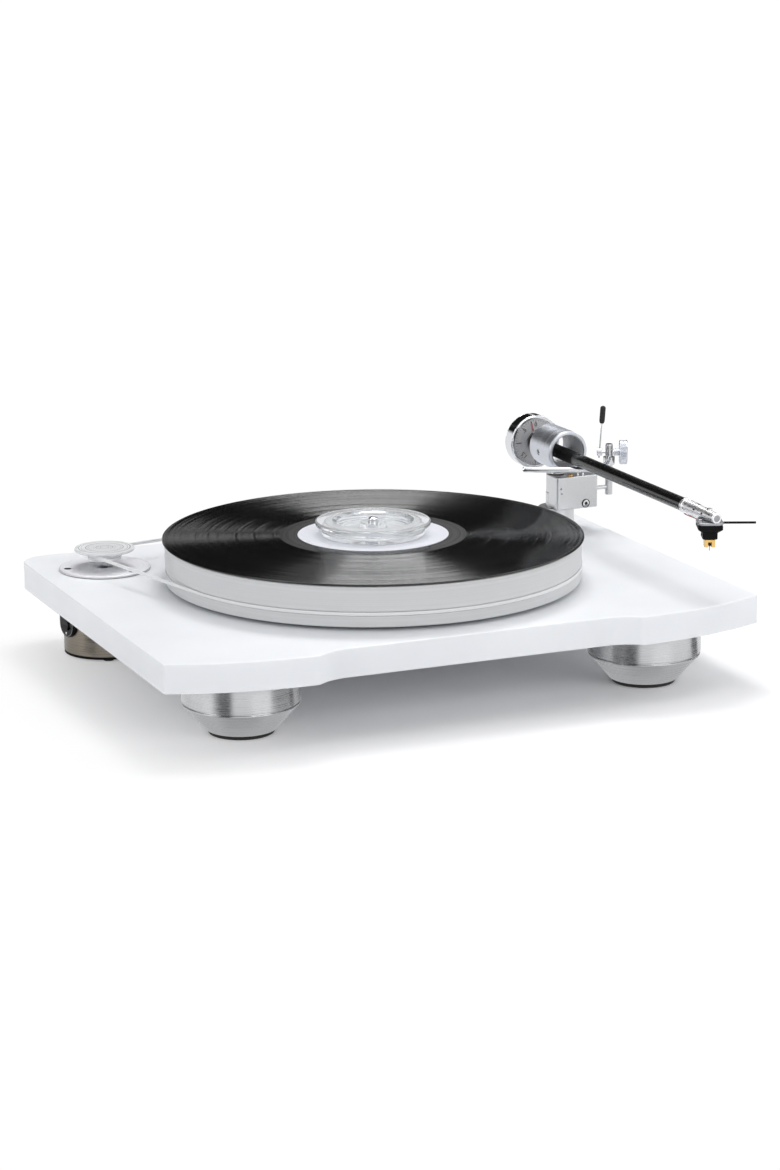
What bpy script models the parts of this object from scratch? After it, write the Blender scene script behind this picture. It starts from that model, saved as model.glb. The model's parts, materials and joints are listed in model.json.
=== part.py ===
# Belt drive turntable with a clear acrylic plinth, three turned feet, a separate motor
# standing in a hole of the plinth, and a carbon tube tonearm.
# Units are metres and degrees. +Z is up, +X is to the right of the front edge, and the
# origin is at the middle of the floor area under the whole object.
# Heights in the code are measured from the floor. Places across the plinth are measured
# from the platter's spindle.

from math import asin, atan2, ceil, cos, degrees, hypot, pi, radians, sin

import bmesh
import bpy
from mathutils import Matrix, Vector

# Fits shared by all pieces
SEAT_GAP = 0.0003
CUT_OVERRUN = 0.002
EDGE_CHAMFER = 0.0006
PARALLEL_SHARE = 0.1

# Roundness, in sides per circle
SIDES_LARGE = 64
SIDES_MEDIUM = 32
SIDES_SMALL = 16
SIDES_TINY = 8

# Feet
PAD_THICKNESS = 0.0024
PAD_RADIUS = 0.0224
FOOT_HEIGHT = 0.039
FOOT_RADIUS = 0.040
FOOT_TIP_RADIUS = 0.0238
FOOT_CONE_HEIGHT = 0.0173
FOOT_RIM_CHAMFER = 0.0012
FOOT_GROOVE_DEPTH = 0.0008
FOOT_GROOVE_WIDTH = 0.0012
FOOT_GROOVE_DROP = 0.013
FRONT_FEET_SPACING = 0.3026
FRONT_FEET_MIDDLE = 0.0027
FRONT_FEET_FORWARD = 0.1231
REAR_FOOT_BACK = 0.112
STUD_RADIUS = 0.004
STUD_IN_FOOT = 0.014
STUD_IN_PLINTH = 0.013

# Plinth
PLINTH_THICKNESS = 0.020
PLINTH_LEFT = 0.2146
PLINTH_RIGHT = 0.2254
PLINTH_BACK = 0.169
PLINTH_RECESS_FRONT = 0.170
LOBE_OUT = 0.0087
LOBE_RADIUS = 0.244
LOBE_PEAK_FROM_MIDDLE = 0.121
LOBE_NOSE_RADIUS = 0.006
STEP_FILLET_RADIUS = 0.034
BACK_CORNER_RADIUS = 0.020
FRONT_CORNER_RADIUS = 0.003
PLINTH_CHAMFER = 0.0008

# Main bearing
PLATTER_CLEARANCE = 0.0027
BEARING_FLANGE_RADIUS = 0.022
BEARING_FLANGE_THICKNESS = 0.0014
BEARING_BODY_RADIUS = 0.012
BEARING_BODY_LENGTH = 0.050
BEARING_FLOOR = 0.004
BUSH_RADIUS = 0.008
BUSH_LENGTH = 0.040
SHAFT_RADIUS = 0.004
SPINDLE_RADIUS = 0.0035
SPINDLE_RISE = 0.0128
BALL_RADIUS = 0.003
HUB_RADIUS = 0.020
HUB_THICKNESS = 0.006
HUB_BOSS_RADIUS = 0.0078
HUB_BOSS_HEIGHT = 0.004
HUB_CLEARANCE = 0.0006

# Platter, record and clamp
PLATTER_RADIUS = 0.149
PLATTER_THICKNESS = 0.0282
PLATTER_CHAMFER = 0.0008
BELT_GROOVE_DEPTH = 0.0009
RECORD_RADIUS = 0.1508
RECORD_THICKNESS = 0.0018
RECORD_RIM_WIDTH = 0.0042
RECORD_LAND_DEPTH = 0.00015
LABEL_RADIUS = 0.054
LABEL_THICKNESS = 0.00025
LABEL_RECESS_DEPTH = 0.00055
CLAMP_RADIUS = 0.0413
CLAMP_BASE_RADIUS = 0.037
CLAMP_WAIST_RADIUS = 0.034
CLAMP_HEIGHT = 0.0101
CLAMP_BASE_HEIGHT = 0.0034
CLAMP_RIM_HEIGHT = 0.0036
CLAMP_DISH_RADIUS = 0.026
CLAMP_DISH_DEPTH = 0.0052
CLAMP_BOSS_RADIUS = 0.009
CLAMP_BOSS_DROP = 0.0018

# Belt and pulley
BELT_ABOVE_PLINTH = 0.012
BELT_HEIGHT = 0.0024
BELT_THICKNESS = 0.0012
PULLEY_HUB_RADIUS = 0.0123
PULLEY_GROOVE_DEPTH = 0.0006
PULLEY_HUB_HEIGHT = 0.0063
PULLEY_BELOW_BELT = 0.0043
PULLEY_DISC_RADIUS = 0.0218
PULLEY_DISC_THICKNESS = 0.0020
PULLEY_TOP_SKIN = 0.0012

# Motor, standing on its own feet at the rear left of the platter
MOTOR_LEFT = 0.166
MOTOR_BACK = 0.1094
MOTOR_HOLE_CLEARANCE = 0.0012
MOTOR_RADIUS = 0.0313
MOTOR_WALL = 0.0015
MOTOR_FOOT_RADIUS = 0.004
MOTOR_FOOT_HEIGHT = 0.0012
MOTOR_FOOT_INSET = 0.006
MOTOR_FOOT_ANGLE = -106
MOTOR_FEET = 3
MOTOR_BASE_THICKNESS = 0.0014
CAP_RADIUS = 0.0332
CAP_THICKNESS = 0.0015
CAP_HOLE_RADIUS = 0.0058
CAP_RISE = 0.0004
CAP_SCREW_ANGLES = (172, -62)
CAP_SCREW_INSET = 0.0058
CAP_SCREW_RADIUS = 0.0014
CAP_SCREW_HEAD_RADIUS = 0.0026
CAP_SCREW_HEAD = 0.0008
CAP_SCREW_LENGTH = 0.005
STATOR_RADIUS = 0.025
STATOR_LENGTH = 0.036
STATOR_FLANGE = 0.0022
MOTOR_SHAFT_RADIUS = 0.002
MOTOR_SHAFT_IN_STATOR = 0.024

# Mains switch and mains inlet, on the motor's side
SWITCH_ANGLE = 191.4
SWITCH_PLATE_WIDTH = 0.020
SWITCH_PLATE_HEIGHT = 0.025
SWITCH_PLATE_PROUD = 0.0022
SWITCH_PLATE_BELOW_PLINTH = 0.0015
ROCKER_WIDTH = 0.008
ROCKER_HEIGHT = 0.013
ROCKER_DEPTH = 0.0052
ROCKER_PROUD = 0.0012
ROCKER_TILT = 4
GLAND_ANGLE = 62
GLAND_HEIGHT = 0.014
GLAND_RADIUS = 0.0048
GLAND_COLLAR_RADIUS = 0.0062
GLAND_COLLAR = 0.0024
GLAND_BORE_RADIUS = 0.0028
GLAND_LENGTH = 0.012

# Tonearm: place of its pivot, from the spindle and above the plinth
ARM_RIGHT = 0.1890
ARM_BACK = 0.0870
ARM_PIVOT_HEIGHT = 0.0610
ARM_REACH = 0.2393
ARM_NOSE_DOWN = 0.45

# Arm base
PILLAR_FLANGE_RADIUS = 0.0137
PILLAR_RADIUS = 0.0080
PILLAR_IN_BLOCK = 0.0110
PILLAR_BELOW_PLINTH = 0.0085
PILLAR_NUT_RADIUS = 0.0140
PILLAR_NUT_HEIGHT = 0.0060
SIGNAL_GLAND_RADIUS = 0.0060
SIGNAL_GLAND_LENGTH = 0.0090
SIGNAL_BORE_RADIUS = 0.0026
BLOCK_TOP_DROP = 0.0175
BLOCK_HEIGHT = 0.0251
BLOCK_FRONT = 0.0175
BLOCK_BACK = 0.0090
BLOCK_LEFT = 0.0078
BLOCK_RIGHT = 0.0267
BLOCK_ROUND_RADIUS = 0.0095
BLOCK_CORNER_RADIUS = 0.0012
BLOCK_CHAMFER = 0.0008
CLAMP_BOLT_RADIUS = 0.0029
CLAMP_BOLT_HEAD = 0.0016
CLAMP_BOLT_SHANK_RADIUS = 0.0015
CLAMP_BOLT_LENGTH = 0.010
CLAMP_BOLT_RIGHT = 0.0164
CLAMP_BOLT_RISE = 0.0037
PIVOT_BUSH_RADIUS = 0.0060
PIVOT_BUSH_LENGTH = 0.0110
PIVOT_SHAFT_RADIUS = 0.0030
PIVOT_COLLAR_RADIUS = 0.0075
PIVOT_COLLAR_GAP = 0.0006
HEIGHT_TRAVEL = 0.004

# Bearing ring that swings on the base, with the tilt pivots in its sides
RING_RADIUS = 0.0159
RING_BORE_RADIUS = 0.0126
RING_FRONT = 0.020
RING_BACK = 0.0145
RING_RISE = 0.0026
RING_CHAMFER = 0.0006
PIVOT_SCREW_RADIUS = 0.0016
PIVOT_POINT_LENGTH = 0.0022
PIVOT_POINT_RADIUS = 0.0004
PIVOT_SCREW_RECESS = 0.0004

# Arm tube and counterweight
TUBE_RADIUS = 0.0050
TUBE_BORE_RADIUS = 0.0042
TUBE_SHORT_OF_STYLUS = 0.0343
TUBE_FRONT = ARM_REACH - TUBE_SHORT_OF_STYLUS
TUBE_BACK = 0.008
STUB_RADIUS = 0.0039
STUB_IN_TUBE = 0.012
STUB_BACK = 0.060
WEIGHT_FRONT = 0.036
WEIGHT_RADIUS = 0.0208
WEIGHT_RIM_LENGTH = 0.0115
WEIGHT_TAPER_LENGTH = 0.0070
WEIGHT_TAIL_RADIUS = 0.0150
WEIGHT_RIM_CHAMFER = 0.0010
WEIGHT_HOLLOW_RADIUS = 0.0118
WEIGHT_HOLLOW_DEPTH = 0.0128
INSERT_WALL = 0.0024
INSERT_BACK = 0.0005
DIAL_RADIUS = 0.0180
DIAL_THICKNESS = 0.0016
DIAL_DROP = 0.0003

# Headshell and cartridge, turned inwards by the offset angle
OFFSET_ANGLE = 23
STYLUS_DROP = 0.0250
PLATE_WIDTH = 0.0181
PLATE_AHEAD = 0.0065
PLATE_BEHIND = 0.0125
PLATE_THICKNESS = 0.0018
PLATE_CORNER_RADIUS = 0.0030
COLLAR_RADIUS = 0.0064
COLLAR_LENGTH = 0.0080
NECK_WIDTH = 0.0088
NECK_THICKNESS = 0.0034
NECK_AHEAD = 0.0042
HEAD_SCREW_RADIUS = 0.0030
HEAD_SCREW_HEAD = 0.0022
HEAD_SCREW_SHANK_RADIUS = 0.0012
CARTRIDGE_WIDTH = 0.0173
CARTRIDGE_DEPTH = 0.0180
CARTRIDGE_TOP_HEIGHT = 0.0052
CARTRIDGE_TAPER_HEIGHT = 0.0022
CARTRIDGE_FOOT_WIDTH = 0.0105
CARTRIDGE_FOOT_DEPTH = 0.0130
CARTRIDGE_HEIGHT = 0.0102
GENERATOR_WIDTH = 0.0076
GENERATOR_DEPTH = 0.0090
GENERATOR_HEIGHT = 0.0054
GENERATOR_AHEAD = 0.0010
CANTILEVER_RADIUS = 0.0003
CANTILEVER_LENGTH = 0.0060
STYLUS_RADIUS = 0.00012
STYLUS_LENGTH = 0.0010
FINGER_RADIUS = 0.0007
FINGER_LENGTH = 0.0225

# Arm lift: post, sliding bar, lever and knob
LIFT_ANGLE = -25
POST_RIGHT = 0.0417
POST_BACK = -0.0062
POST_RADIUS = 0.0029
POST_RISE = 0.0030
POST_BELOW_PIVOT = 0.0364
POST_STUD_RADIUS = 0.0016
POST_STUD_DROP = 0.0304
SLEEVE_RADIUS = 0.0046
SLEEVE_ABOVE_BAR = 0.0007
SLEEVE_BELOW_BAR = 0.0053
BAR_RADIUS = 0.0021
BAR_AHEAD = 0.034
BAR_LEFT = 0.026
BAR_RIGHT = 0.025
BAR_BOW = 0.0012
LIFT_SHAFT_DROP = 0.0035
LIFT_SHAFT_RADIUS = 0.0012
LIFT_BOSS_RADIUS = 0.0031
LIFT_BOSS_LENGTH = 0.0040
LIFT_BOSS_LEFT = 0.0073
LEVER_ROD_RADIUS = 0.0006
LEVER_ROD_TAIL = 0.0045
LEVER_LEAN = 4
GRIP_START = 0.0224
GRIP_LENGTH = 0.0136
GRIP_RADIUS = 0.0021
KNOB_NECK_RADIUS = 0.0027
KNOB_RADIUS = 0.0093
KNOB_THICKNESS = 0.0062
KNOB_RIGHT = 0.0108
LIFT_TRAVEL = 0.002

# Heights above the floor that follow from the sizes above
PLINTH_BOTTOM = PAD_THICKNESS + FOOT_HEIGHT + 2 * SEAT_GAP
PLINTH_TOP = PLINTH_BOTTOM + PLINTH_THICKNESS
PLATTER_BOTTOM = PLINTH_TOP + PLATTER_CLEARANCE
PLATTER_TOP = PLATTER_BOTTOM + PLATTER_THICKNESS
RECORD_BOTTOM = PLATTER_TOP + SEAT_GAP
RECORD_TOP = RECORD_BOTTOM + RECORD_THICKNESS
BELT_MIDDLE = PLINTH_TOP + BELT_ABOVE_PLINTH
CAP_BOTTOM = PLINTH_TOP + CAP_RISE
CAP_TOP = CAP_BOTTOM + CAP_THICKNESS
HUB_BOTTOM = PLINTH_TOP + SEAT_GAP + BEARING_FLANGE_THICKNESS + HUB_CLEARANCE
BEARING_BASE = PLINTH_TOP - BEARING_BODY_LENGTH
WELL_FLOOR = BEARING_BASE + BEARING_FLOOR
ARM_AXIS = PLINTH_TOP + ARM_PIVOT_HEIGHT
BLOCK_TOP = ARM_AXIS - BLOCK_TOP_DROP
BLOCK_BOTTOM = BLOCK_TOP - BLOCK_HEIGHT

MOTOR_PLACE = Vector((-MOTOR_LEFT, MOTOR_BACK, 0))
ARM_PLACE = Vector((ARM_RIGHT, ARM_BACK, 0))
FEET = {
    "front_left": Vector((FRONT_FEET_MIDDLE - FRONT_FEET_SPACING / 2, -FRONT_FEET_FORWARD, 0)),
    "front_right": Vector((FRONT_FEET_MIDDLE + FRONT_FEET_SPACING / 2, -FRONT_FEET_FORWARD, 0)),
    "rear": Vector((FRONT_FEET_MIDDLE, REAR_FOOT_BACK, 0)),
}

FINISHES = {
    "frosted_acrylic": ((0.86, 0.87, 0.89), 0.35, 0.0),
    "white_acrylic": ((0.66, 0.67, 0.67), 0.4, 0.0),
    "clear_acrylic": ((0.82, 0.84, 0.85), 0.1, 0.0),
    "turned_aluminium": ((0.72, 0.73, 0.74), 0.28, 1.0),
    "satin_aluminium": ((0.62, 0.62, 0.63), 0.42, 1.0),
    "polished_steel": ((0.78, 0.78, 0.79), 0.12, 1.0),
    "brushed_steel": ((0.52, 0.50, 0.47), 0.35, 1.0),
    "sintered_bronze": ((0.45, 0.28, 0.14), 0.55, 1.0),
    "black_vinyl": ((0.012, 0.012, 0.013), 0.22, 0.0),
    "label_paper": ((0.84, 0.84, 0.85), 0.7, 0.0),
    "carbon_tube": ((0.012, 0.012, 0.012), 0.35, 0.0),
    "black_plastic": ((0.014, 0.014, 0.015), 0.4, 0.0),
    "black_rubber": ((0.02, 0.02, 0.02), 0.8, 0.0),
    "gold_alloy": ((0.80, 0.55, 0.22), 0.25, 1.0),
    "clear_silicone": ((0.88, 0.88, 0.88), 0.5, 0.0),
}


# Scene helpers


def clear_scene():
    for obj in list(bpy.data.objects):
        bpy.data.objects.remove(obj, do_unlink=True)


def finish(name):
    """The named finish, made once."""
    if name in bpy.data.materials:
        return bpy.data.materials[name]
    colour, roughness, metallic = FINISHES[name]
    made = bpy.data.materials.new(name)
    made.use_nodes = True
    shader = made.node_tree.nodes["Principled BSDF"]
    shader.inputs["Base Color"].default_value = (*colour, 1.0)
    shader.inputs["Roughness"].default_value = roughness
    shader.inputs["Metallic"].default_value = metallic
    made.diffuse_color = (*colour, 1.0)
    return made


def empty(name, parent, place=(0, 0, 0), turn=(0, 0, 0)):
    """A joint's frame: place is where its axis passes, in the parent's frame."""
    made = bpy.data.objects.new(name, None)
    bpy.context.scene.collection.objects.link(made)
    made.parent = parent
    made.location = place
    made.rotation_euler = [radians(angle) for angle in turn]
    return made


def solid(name, shape, material, parent, place=(0, 0, 0), turn=(0, 0, 0)):
    """A named piece from a bmesh, which is freed."""
    bmesh.ops.recalc_face_normals(shape, faces=shape.faces)
    mesh = bpy.data.meshes.new(name)
    shape.to_mesh(mesh)
    shape.free()
    mesh.shade_smooth()
    mesh.set_sharp_from_angle(angle=radians(35))
    made = bpy.data.objects.new(name, mesh)
    bpy.context.scene.collection.objects.link(made)
    made.parent = parent
    made.location = place
    made.rotation_euler = [radians(angle) for angle in turn]
    if material:
        mesh.materials.append(finish(material))
    return made


def helper(name, shape, parent, place=(0, 0, 0), turn=(0, 0, 0)):
    """A cutter or a shape to be joined, which isn't a piece itself."""
    made = solid(name, shape, None, parent, place, turn)
    made.hide_render = True
    made.display_type = "WIRE"
    return made


def combine(target, operation, others):
    for other in others:
        modifier = target.modifiers.new(other.name, "BOOLEAN")
        modifier.operation = operation
        modifier.object = other
        modifier.solver = "EXACT"


# Shape helpers


def turned(profile, sides):
    """A shape turned about Z from (radius, height) points. It is closed where the profile ends on the axis."""
    shape = bmesh.new()
    points = [shape.verts.new((radius, 0, height)) for radius, height in profile]
    edges = [shape.edges.new(pair) for pair in zip(points, points[1:])]
    if profile[0][0] > 0:
        edges.append(shape.edges.new((points[-1], points[0])))
    bmesh.ops.spin(
        shape,
        geom=points + edges,
        cent=(0, 0, 0),
        axis=(0, 0, 1),
        dvec=(0, 0, 0),
        angle=2 * pi,
        steps=sides,
        use_merge=True,
        use_duplicate=False,
    )
    bmesh.ops.remove_doubles(shape, verts=shape.verts, dist=SEAT_GAP / 1000)
    return shape


def rod(radius, low, high, sides=SIDES_SMALL, chamfer=0.0, tip_radius=None):
    """A solid cylinder from low to high. A tip radius makes a cone's end."""
    top = radius if tip_radius is None else tip_radius
    profile = [(0, low), (radius - chamfer, low)]
    if chamfer:
        profile.append((radius, low + chamfer))
        profile.append((top, high - chamfer))
    profile += [(top - chamfer, high), (0, high)]
    return turned(profile, sides)


def tube(outer, inner, low, high, sides=SIDES_SMALL, chamfer=0.0):
    """A ring from low to high with a bore right through."""
    profile = [(inner, low), (outer - chamfer, low)]
    if chamfer:
        profile += [(outer, low + chamfer), (outer, high - chamfer)]
    profile += [(outer - chamfer, high), (inner, high)]
    return turned(profile, sides)


def arc(centre, radius, start, end, steps):
    """Points on an arc, start and end in degrees."""
    angles = [radians(start + (end - start) * i / steps) for i in range(steps + 1)]
    return [(centre[0] + radius * cos(a), centre[1] + radius * sin(a)) for a in angles]


def rounded_rectangle(left, right, front, back, radius, steps=4):
    corners = (
        ((right - radius, back - radius), 0),
        ((left + radius, back - radius), 90),
        ((left + radius, front + radius), 180),
        ((right - radius, front + radius), 270),
    )
    return [p for centre, start in corners for p in arc(centre, radius, start, start + 90, steps)]


def inset(outline, distance):
    """The anticlockwise outline moved inwards, corner by corner."""
    moved = []
    count = len(outline)
    for i, here in enumerate(outline):
        before = Vector(here) - Vector(outline[i - 1])
        after = Vector(outline[(i + 1) % count]) - Vector(here)
        normals = [Vector((-side.y, side.x)).normalized() for side in (before, after)]
        middle = (normals[0] + normals[1]).normalized()
        moved.append(Vector(here) + middle * (distance / max(middle.dot(normals[0]), 0.3)))
    return [tuple(point) for point in moved]


def skin(shape, rings):
    """Joins rings of points, each [(x, y, z), ...], and closes both ends."""
    loops = [[shape.verts.new(point) for point in ring] for ring in rings]
    for lower, upper in zip(loops, loops[1:]):
        count = len(lower)
        for i in range(count):
            j = (i + 1) % count
            shape.faces.new((lower[i], lower[j], upper[j], upper[i]))
    shape.faces.new(list(reversed(loops[0])))
    shape.faces.new(loops[-1])
    return shape


def slab(outline, low, high, chamfer=0.0):
    """An outline drawn up from low to high, with chamfered rims."""
    levels = [(low, chamfer), (low + chamfer, 0), (high - chamfer, 0), (high, chamfer)]
    if not chamfer:
        levels = [(low, 0), (high, 0)]
    rings = []
    for height, depth in levels:
        ring = inset(outline, depth) if depth else outline
        rings.append([(x, y, height) for x, y in ring])
    return skin(bmesh.new(), rings)


def swept(path, radius, sides=SIDES_TINY):
    """A round rod along a path."""
    points = [Vector(point) for point in path]
    along = (points[1] - points[0]).normalized()
    side = along.cross(Vector((0, 0, 1)))
    if side.length < PARALLEL_SHARE:
        side = along.cross(Vector((1, 0, 0)))
    side.normalize()
    rings = []
    for i, point in enumerate(points):
        ahead = points[min(i + 1, len(points) - 1)] - points[max(i - 1, 0)]
        ahead.normalize()
        side = (side - ahead * side.dot(ahead)).normalized()
        across = ahead.cross(side)
        turns = [2 * pi * j / sides for j in range(sides)]
        rings.append([point + (side * cos(a) + across * sin(a)) * radius for a in turns])
    return skin(bmesh.new(), rings)


def smooth_path(points, per_span=4):
    """Points along a smooth curve through the given ones."""
    ends = [Vector(points[0]), *[Vector(p) for p in points], Vector(points[-1])]
    path = []
    for a, b, c, d in zip(ends, ends[1:], ends[2:], ends[3:]):
        for i in range(per_span):
            t = i / per_span
            path.append(
                0.5
                * (2 * b + (c - a) * t + (2 * a - 5 * b + 4 * c - d) * t**2 + (3 * b - a - 3 * c + d) * t**3)
            )
    path.append(Vector(points[-1]))
    return path


# Plinth and feet


def plinth_outline():
    """The plinth seen from above, anticlockwise from the middle of the front recess."""
    middle = (PLINTH_RIGHT - PLINTH_LEFT) / 2
    half = (PLINTH_RIGHT + PLINTH_LEFT) / 2
    peak = -(PLINTH_RECESS_FRONT + LOBE_OUT)
    lobe_centre = (LOBE_PEAK_FROM_MIDDLE, peak + LOBE_RADIUS)
    corner_x = half - FRONT_CORNER_RADIUS
    lobe_end = degrees(asin((corner_x - LOBE_PEAK_FROM_MIDDLE) / LOBE_RADIUS))
    nose_centre = (LOBE_PEAK_FROM_MIDDLE, peak + LOBE_NOSE_RADIUS)
    fillet_y = -PLINTH_RECESS_FRONT - STEP_FILLET_RADIUS
    reach = STEP_FILLET_RADIUS + LOBE_NOSE_RADIUS
    rise = nose_centre[1] - fillet_y
    run = (reach**2 - rise**2) ** 0.5
    fillet_centre = (LOBE_PEAK_FROM_MIDDLE - run, fillet_y)
    meet = degrees(atan2(rise, run))
    side = []
    side += arc(fillet_centre, STEP_FILLET_RADIUS, 90, meet, 5)
    side += arc(nose_centre, LOBE_NOSE_RADIUS, 180 + meet, 270, 4)[1:]
    side += arc(lobe_centre, LOBE_RADIUS, 270, 270 + lobe_end, 12)[1:]
    last = side[-1]
    side += arc((corner_x, last[1] + FRONT_CORNER_RADIUS), FRONT_CORNER_RADIUS, 270 + lobe_end, 360, 3)[1:]
    back_centre = (half - BACK_CORNER_RADIUS, PLINTH_BACK - BACK_CORNER_RADIUS)
    side += arc(back_centre, BACK_CORNER_RADIUS, 0, 90, 8)
    mirrored = [(-x, y) for x, y in reversed(side)]
    return [(x + middle, y) for x, y in side + mirrored]


def build_plinth(root):
    outline = plinth_outline()
    plinth = solid(
        "plinth",
        slab(outline, PLINTH_BOTTOM, PLINTH_TOP, PLINTH_CHAMFER),
        "frosted_acrylic",
        root,
    )
    low = PLINTH_BOTTOM - CUT_OVERRUN
    high = PLINTH_TOP + CUT_OVERRUN
    holes = {
        "cut_motor": (MOTOR_RADIUS + MOTOR_HOLE_CLEARANCE, MOTOR_PLACE, high, SIDES_MEDIUM),
        "cut_bearing": (BEARING_BODY_RADIUS + SEAT_GAP, Vector((0, 0, 0)), high, SIDES_SMALL),
        "cut_pillar": (PILLAR_RADIUS + SEAT_GAP, ARM_PLACE, high, SIDES_SMALL),
    }
    for label, place in FEET.items():
        top = PLINTH_BOTTOM + STUD_IN_PLINTH + SEAT_GAP
        holes["cut_stud_" + label] = (STUD_RADIUS + SEAT_GAP, place, top, SIDES_TINY)
    cutters = [
        helper(name, rod(radius, low, top, sides), root, place)
        for name, (radius, place, top, sides) in holes.items()
    ]
    combine(plinth, "DIFFERENCE", cutters)


def build_foot(root, label, place):
    axis = empty("foot_axis_" + label, root, place)
    solid("foot_pad_" + label, rod(PAD_RADIUS, 0, PAD_THICKNESS, SIDES_SMALL), "black_rubber", axis)
    low = PAD_THICKNESS + SEAT_GAP
    rim = low + FOOT_CONE_HEIGHT
    high = low + FOOT_HEIGHT
    groove = high - FOOT_GROOVE_DROP
    hole = STUD_RADIUS + SEAT_GAP
    profile = [
        (0, low),
        (FOOT_TIP_RADIUS - EDGE_CHAMFER, low),
        (FOOT_TIP_RADIUS, low + EDGE_CHAMFER),
        (FOOT_RADIUS - FOOT_RIM_CHAMFER, rim),
        (FOOT_RADIUS, rim + FOOT_RIM_CHAMFER),
        (FOOT_RADIUS, groove - FOOT_GROOVE_WIDTH / 2),
        (FOOT_RADIUS - FOOT_GROOVE_DEPTH, groove),
        (FOOT_RADIUS, groove + FOOT_GROOVE_WIDTH / 2),
        (FOOT_RADIUS, high - EDGE_CHAMFER),
        (FOOT_RADIUS - EDGE_CHAMFER, high),
        (hole, high),
        (hole, high - STUD_IN_FOOT - SEAT_GAP),
        (0, high - STUD_IN_FOOT - SEAT_GAP),
    ]
    solid("foot_body_" + label, turned(profile, SIDES_MEDIUM), "turned_aluminium", axis)
    stud = rod(STUD_RADIUS, high - STUD_IN_FOOT, PLINTH_BOTTOM + STUD_IN_PLINTH, SIDES_TINY, EDGE_CHAMFER)
    solid("foot_stud_" + label, stud, "polished_steel", root, place)


# Main bearing, platter, record and clamp


def build_bearing(root):
    flange_low = PLINTH_TOP + SEAT_GAP
    flange_high = flange_low + BEARING_FLANGE_THICKNESS
    well = BUSH_RADIUS + SEAT_GAP
    housing = [
        (0, BEARING_BASE),
        (BEARING_BODY_RADIUS - EDGE_CHAMFER, BEARING_BASE),
        (BEARING_BODY_RADIUS, BEARING_BASE + EDGE_CHAMFER),
        (BEARING_BODY_RADIUS, flange_low),
        (BEARING_FLANGE_RADIUS, flange_low),
        (BEARING_FLANGE_RADIUS, flange_high),
        (well, flange_high),
        (well, WELL_FLOOR),
        (0, WELL_FLOOR),
    ]
    solid("bearing_housing", turned(housing, SIDES_SMALL), "turned_aluminium", root)
    bush_low = WELL_FLOOR + SEAT_GAP
    bush = tube(BUSH_RADIUS, SHAFT_RADIUS + SEAT_GAP, bush_low, bush_low + BUSH_LENGTH, SIDES_SMALL)
    solid("bearing_bush", bush, "sintered_bronze", root)


def build_platter(axis):
    shaft_hole = SHAFT_RADIUS + SEAT_GAP
    hub_top = HUB_BOTTOM + HUB_THICKNESS
    boss_top = hub_top + HUB_BOSS_HEIGHT
    recess = hub_top + SEAT_GAP
    boss_recess = boss_top + SEAT_GAP
    groove = BELT_HEIGHT / 2 + SEAT_GAP
    platter = [
        (shaft_hole, PLATTER_TOP),
        (shaft_hole, boss_recess),
        (HUB_BOSS_RADIUS + SEAT_GAP, boss_recess),
        (HUB_BOSS_RADIUS + SEAT_GAP, recess),
        (HUB_RADIUS + SEAT_GAP, recess),
        (HUB_RADIUS + SEAT_GAP, PLATTER_BOTTOM),
        (PLATTER_RADIUS - PLATTER_CHAMFER, PLATTER_BOTTOM),
        (PLATTER_RADIUS, PLATTER_BOTTOM + PLATTER_CHAMFER),
        (PLATTER_RADIUS, BELT_MIDDLE - groove),
        (PLATTER_RADIUS - BELT_GROOVE_DEPTH, BELT_MIDDLE - groove),
        (PLATTER_RADIUS - BELT_GROOVE_DEPTH, BELT_MIDDLE + groove),
        (PLATTER_RADIUS, BELT_MIDDLE + groove),
        (PLATTER_RADIUS, PLATTER_TOP - PLATTER_CHAMFER),
        (PLATTER_RADIUS - PLATTER_CHAMFER, PLATTER_TOP),
    ]
    solid("platter", turned(platter, SIDES_LARGE), "white_acrylic", axis)
    hub = [
        (shaft_hole, HUB_BOTTOM),
        (HUB_RADIUS, HUB_BOTTOM),
        (HUB_RADIUS, hub_top),
        (HUB_BOSS_RADIUS, hub_top),
        (HUB_BOSS_RADIUS, boss_top),
        (shaft_hole, boss_top),
    ]
    solid("platter_hub", turned(hub, SIDES_SMALL), "turned_aluminium", axis)
    ball_middle = WELL_FLOOR + SEAT_GAP + BALL_RADIUS
    steps = SIDES_TINY // 2
    half = arc((0, ball_middle), BALL_RADIUS, -90, 90, steps)
    ball = [(0, ball_middle - BALL_RADIUS), *half[1:-1], (0, ball_middle + BALL_RADIUS)]
    solid("thrust_ball", turned(ball, SIDES_TINY), "polished_steel", axis)
    shaft_low = ball_middle + BALL_RADIUS + SEAT_GAP
    shoulder = PLATTER_TOP - SEAT_GAP
    tip = RECORD_TOP + SPINDLE_RISE
    nose = SPINDLE_RADIUS / 2
    shaft = [
        (0, shaft_low),
        (SHAFT_RADIUS - EDGE_CHAMFER, shaft_low),
        (SHAFT_RADIUS, shaft_low + EDGE_CHAMFER),
        (SHAFT_RADIUS, shoulder),
        (SPINDLE_RADIUS, shoulder),
        (SPINDLE_RADIUS, tip - 2 * nose),
        (SPINDLE_RADIUS - nose / 3, tip - nose),
        (nose, tip - nose / 3),
        (0, tip),
    ]
    solid("bearing_shaft", turned(shaft, SIDES_SMALL), "polished_steel", axis)


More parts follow.
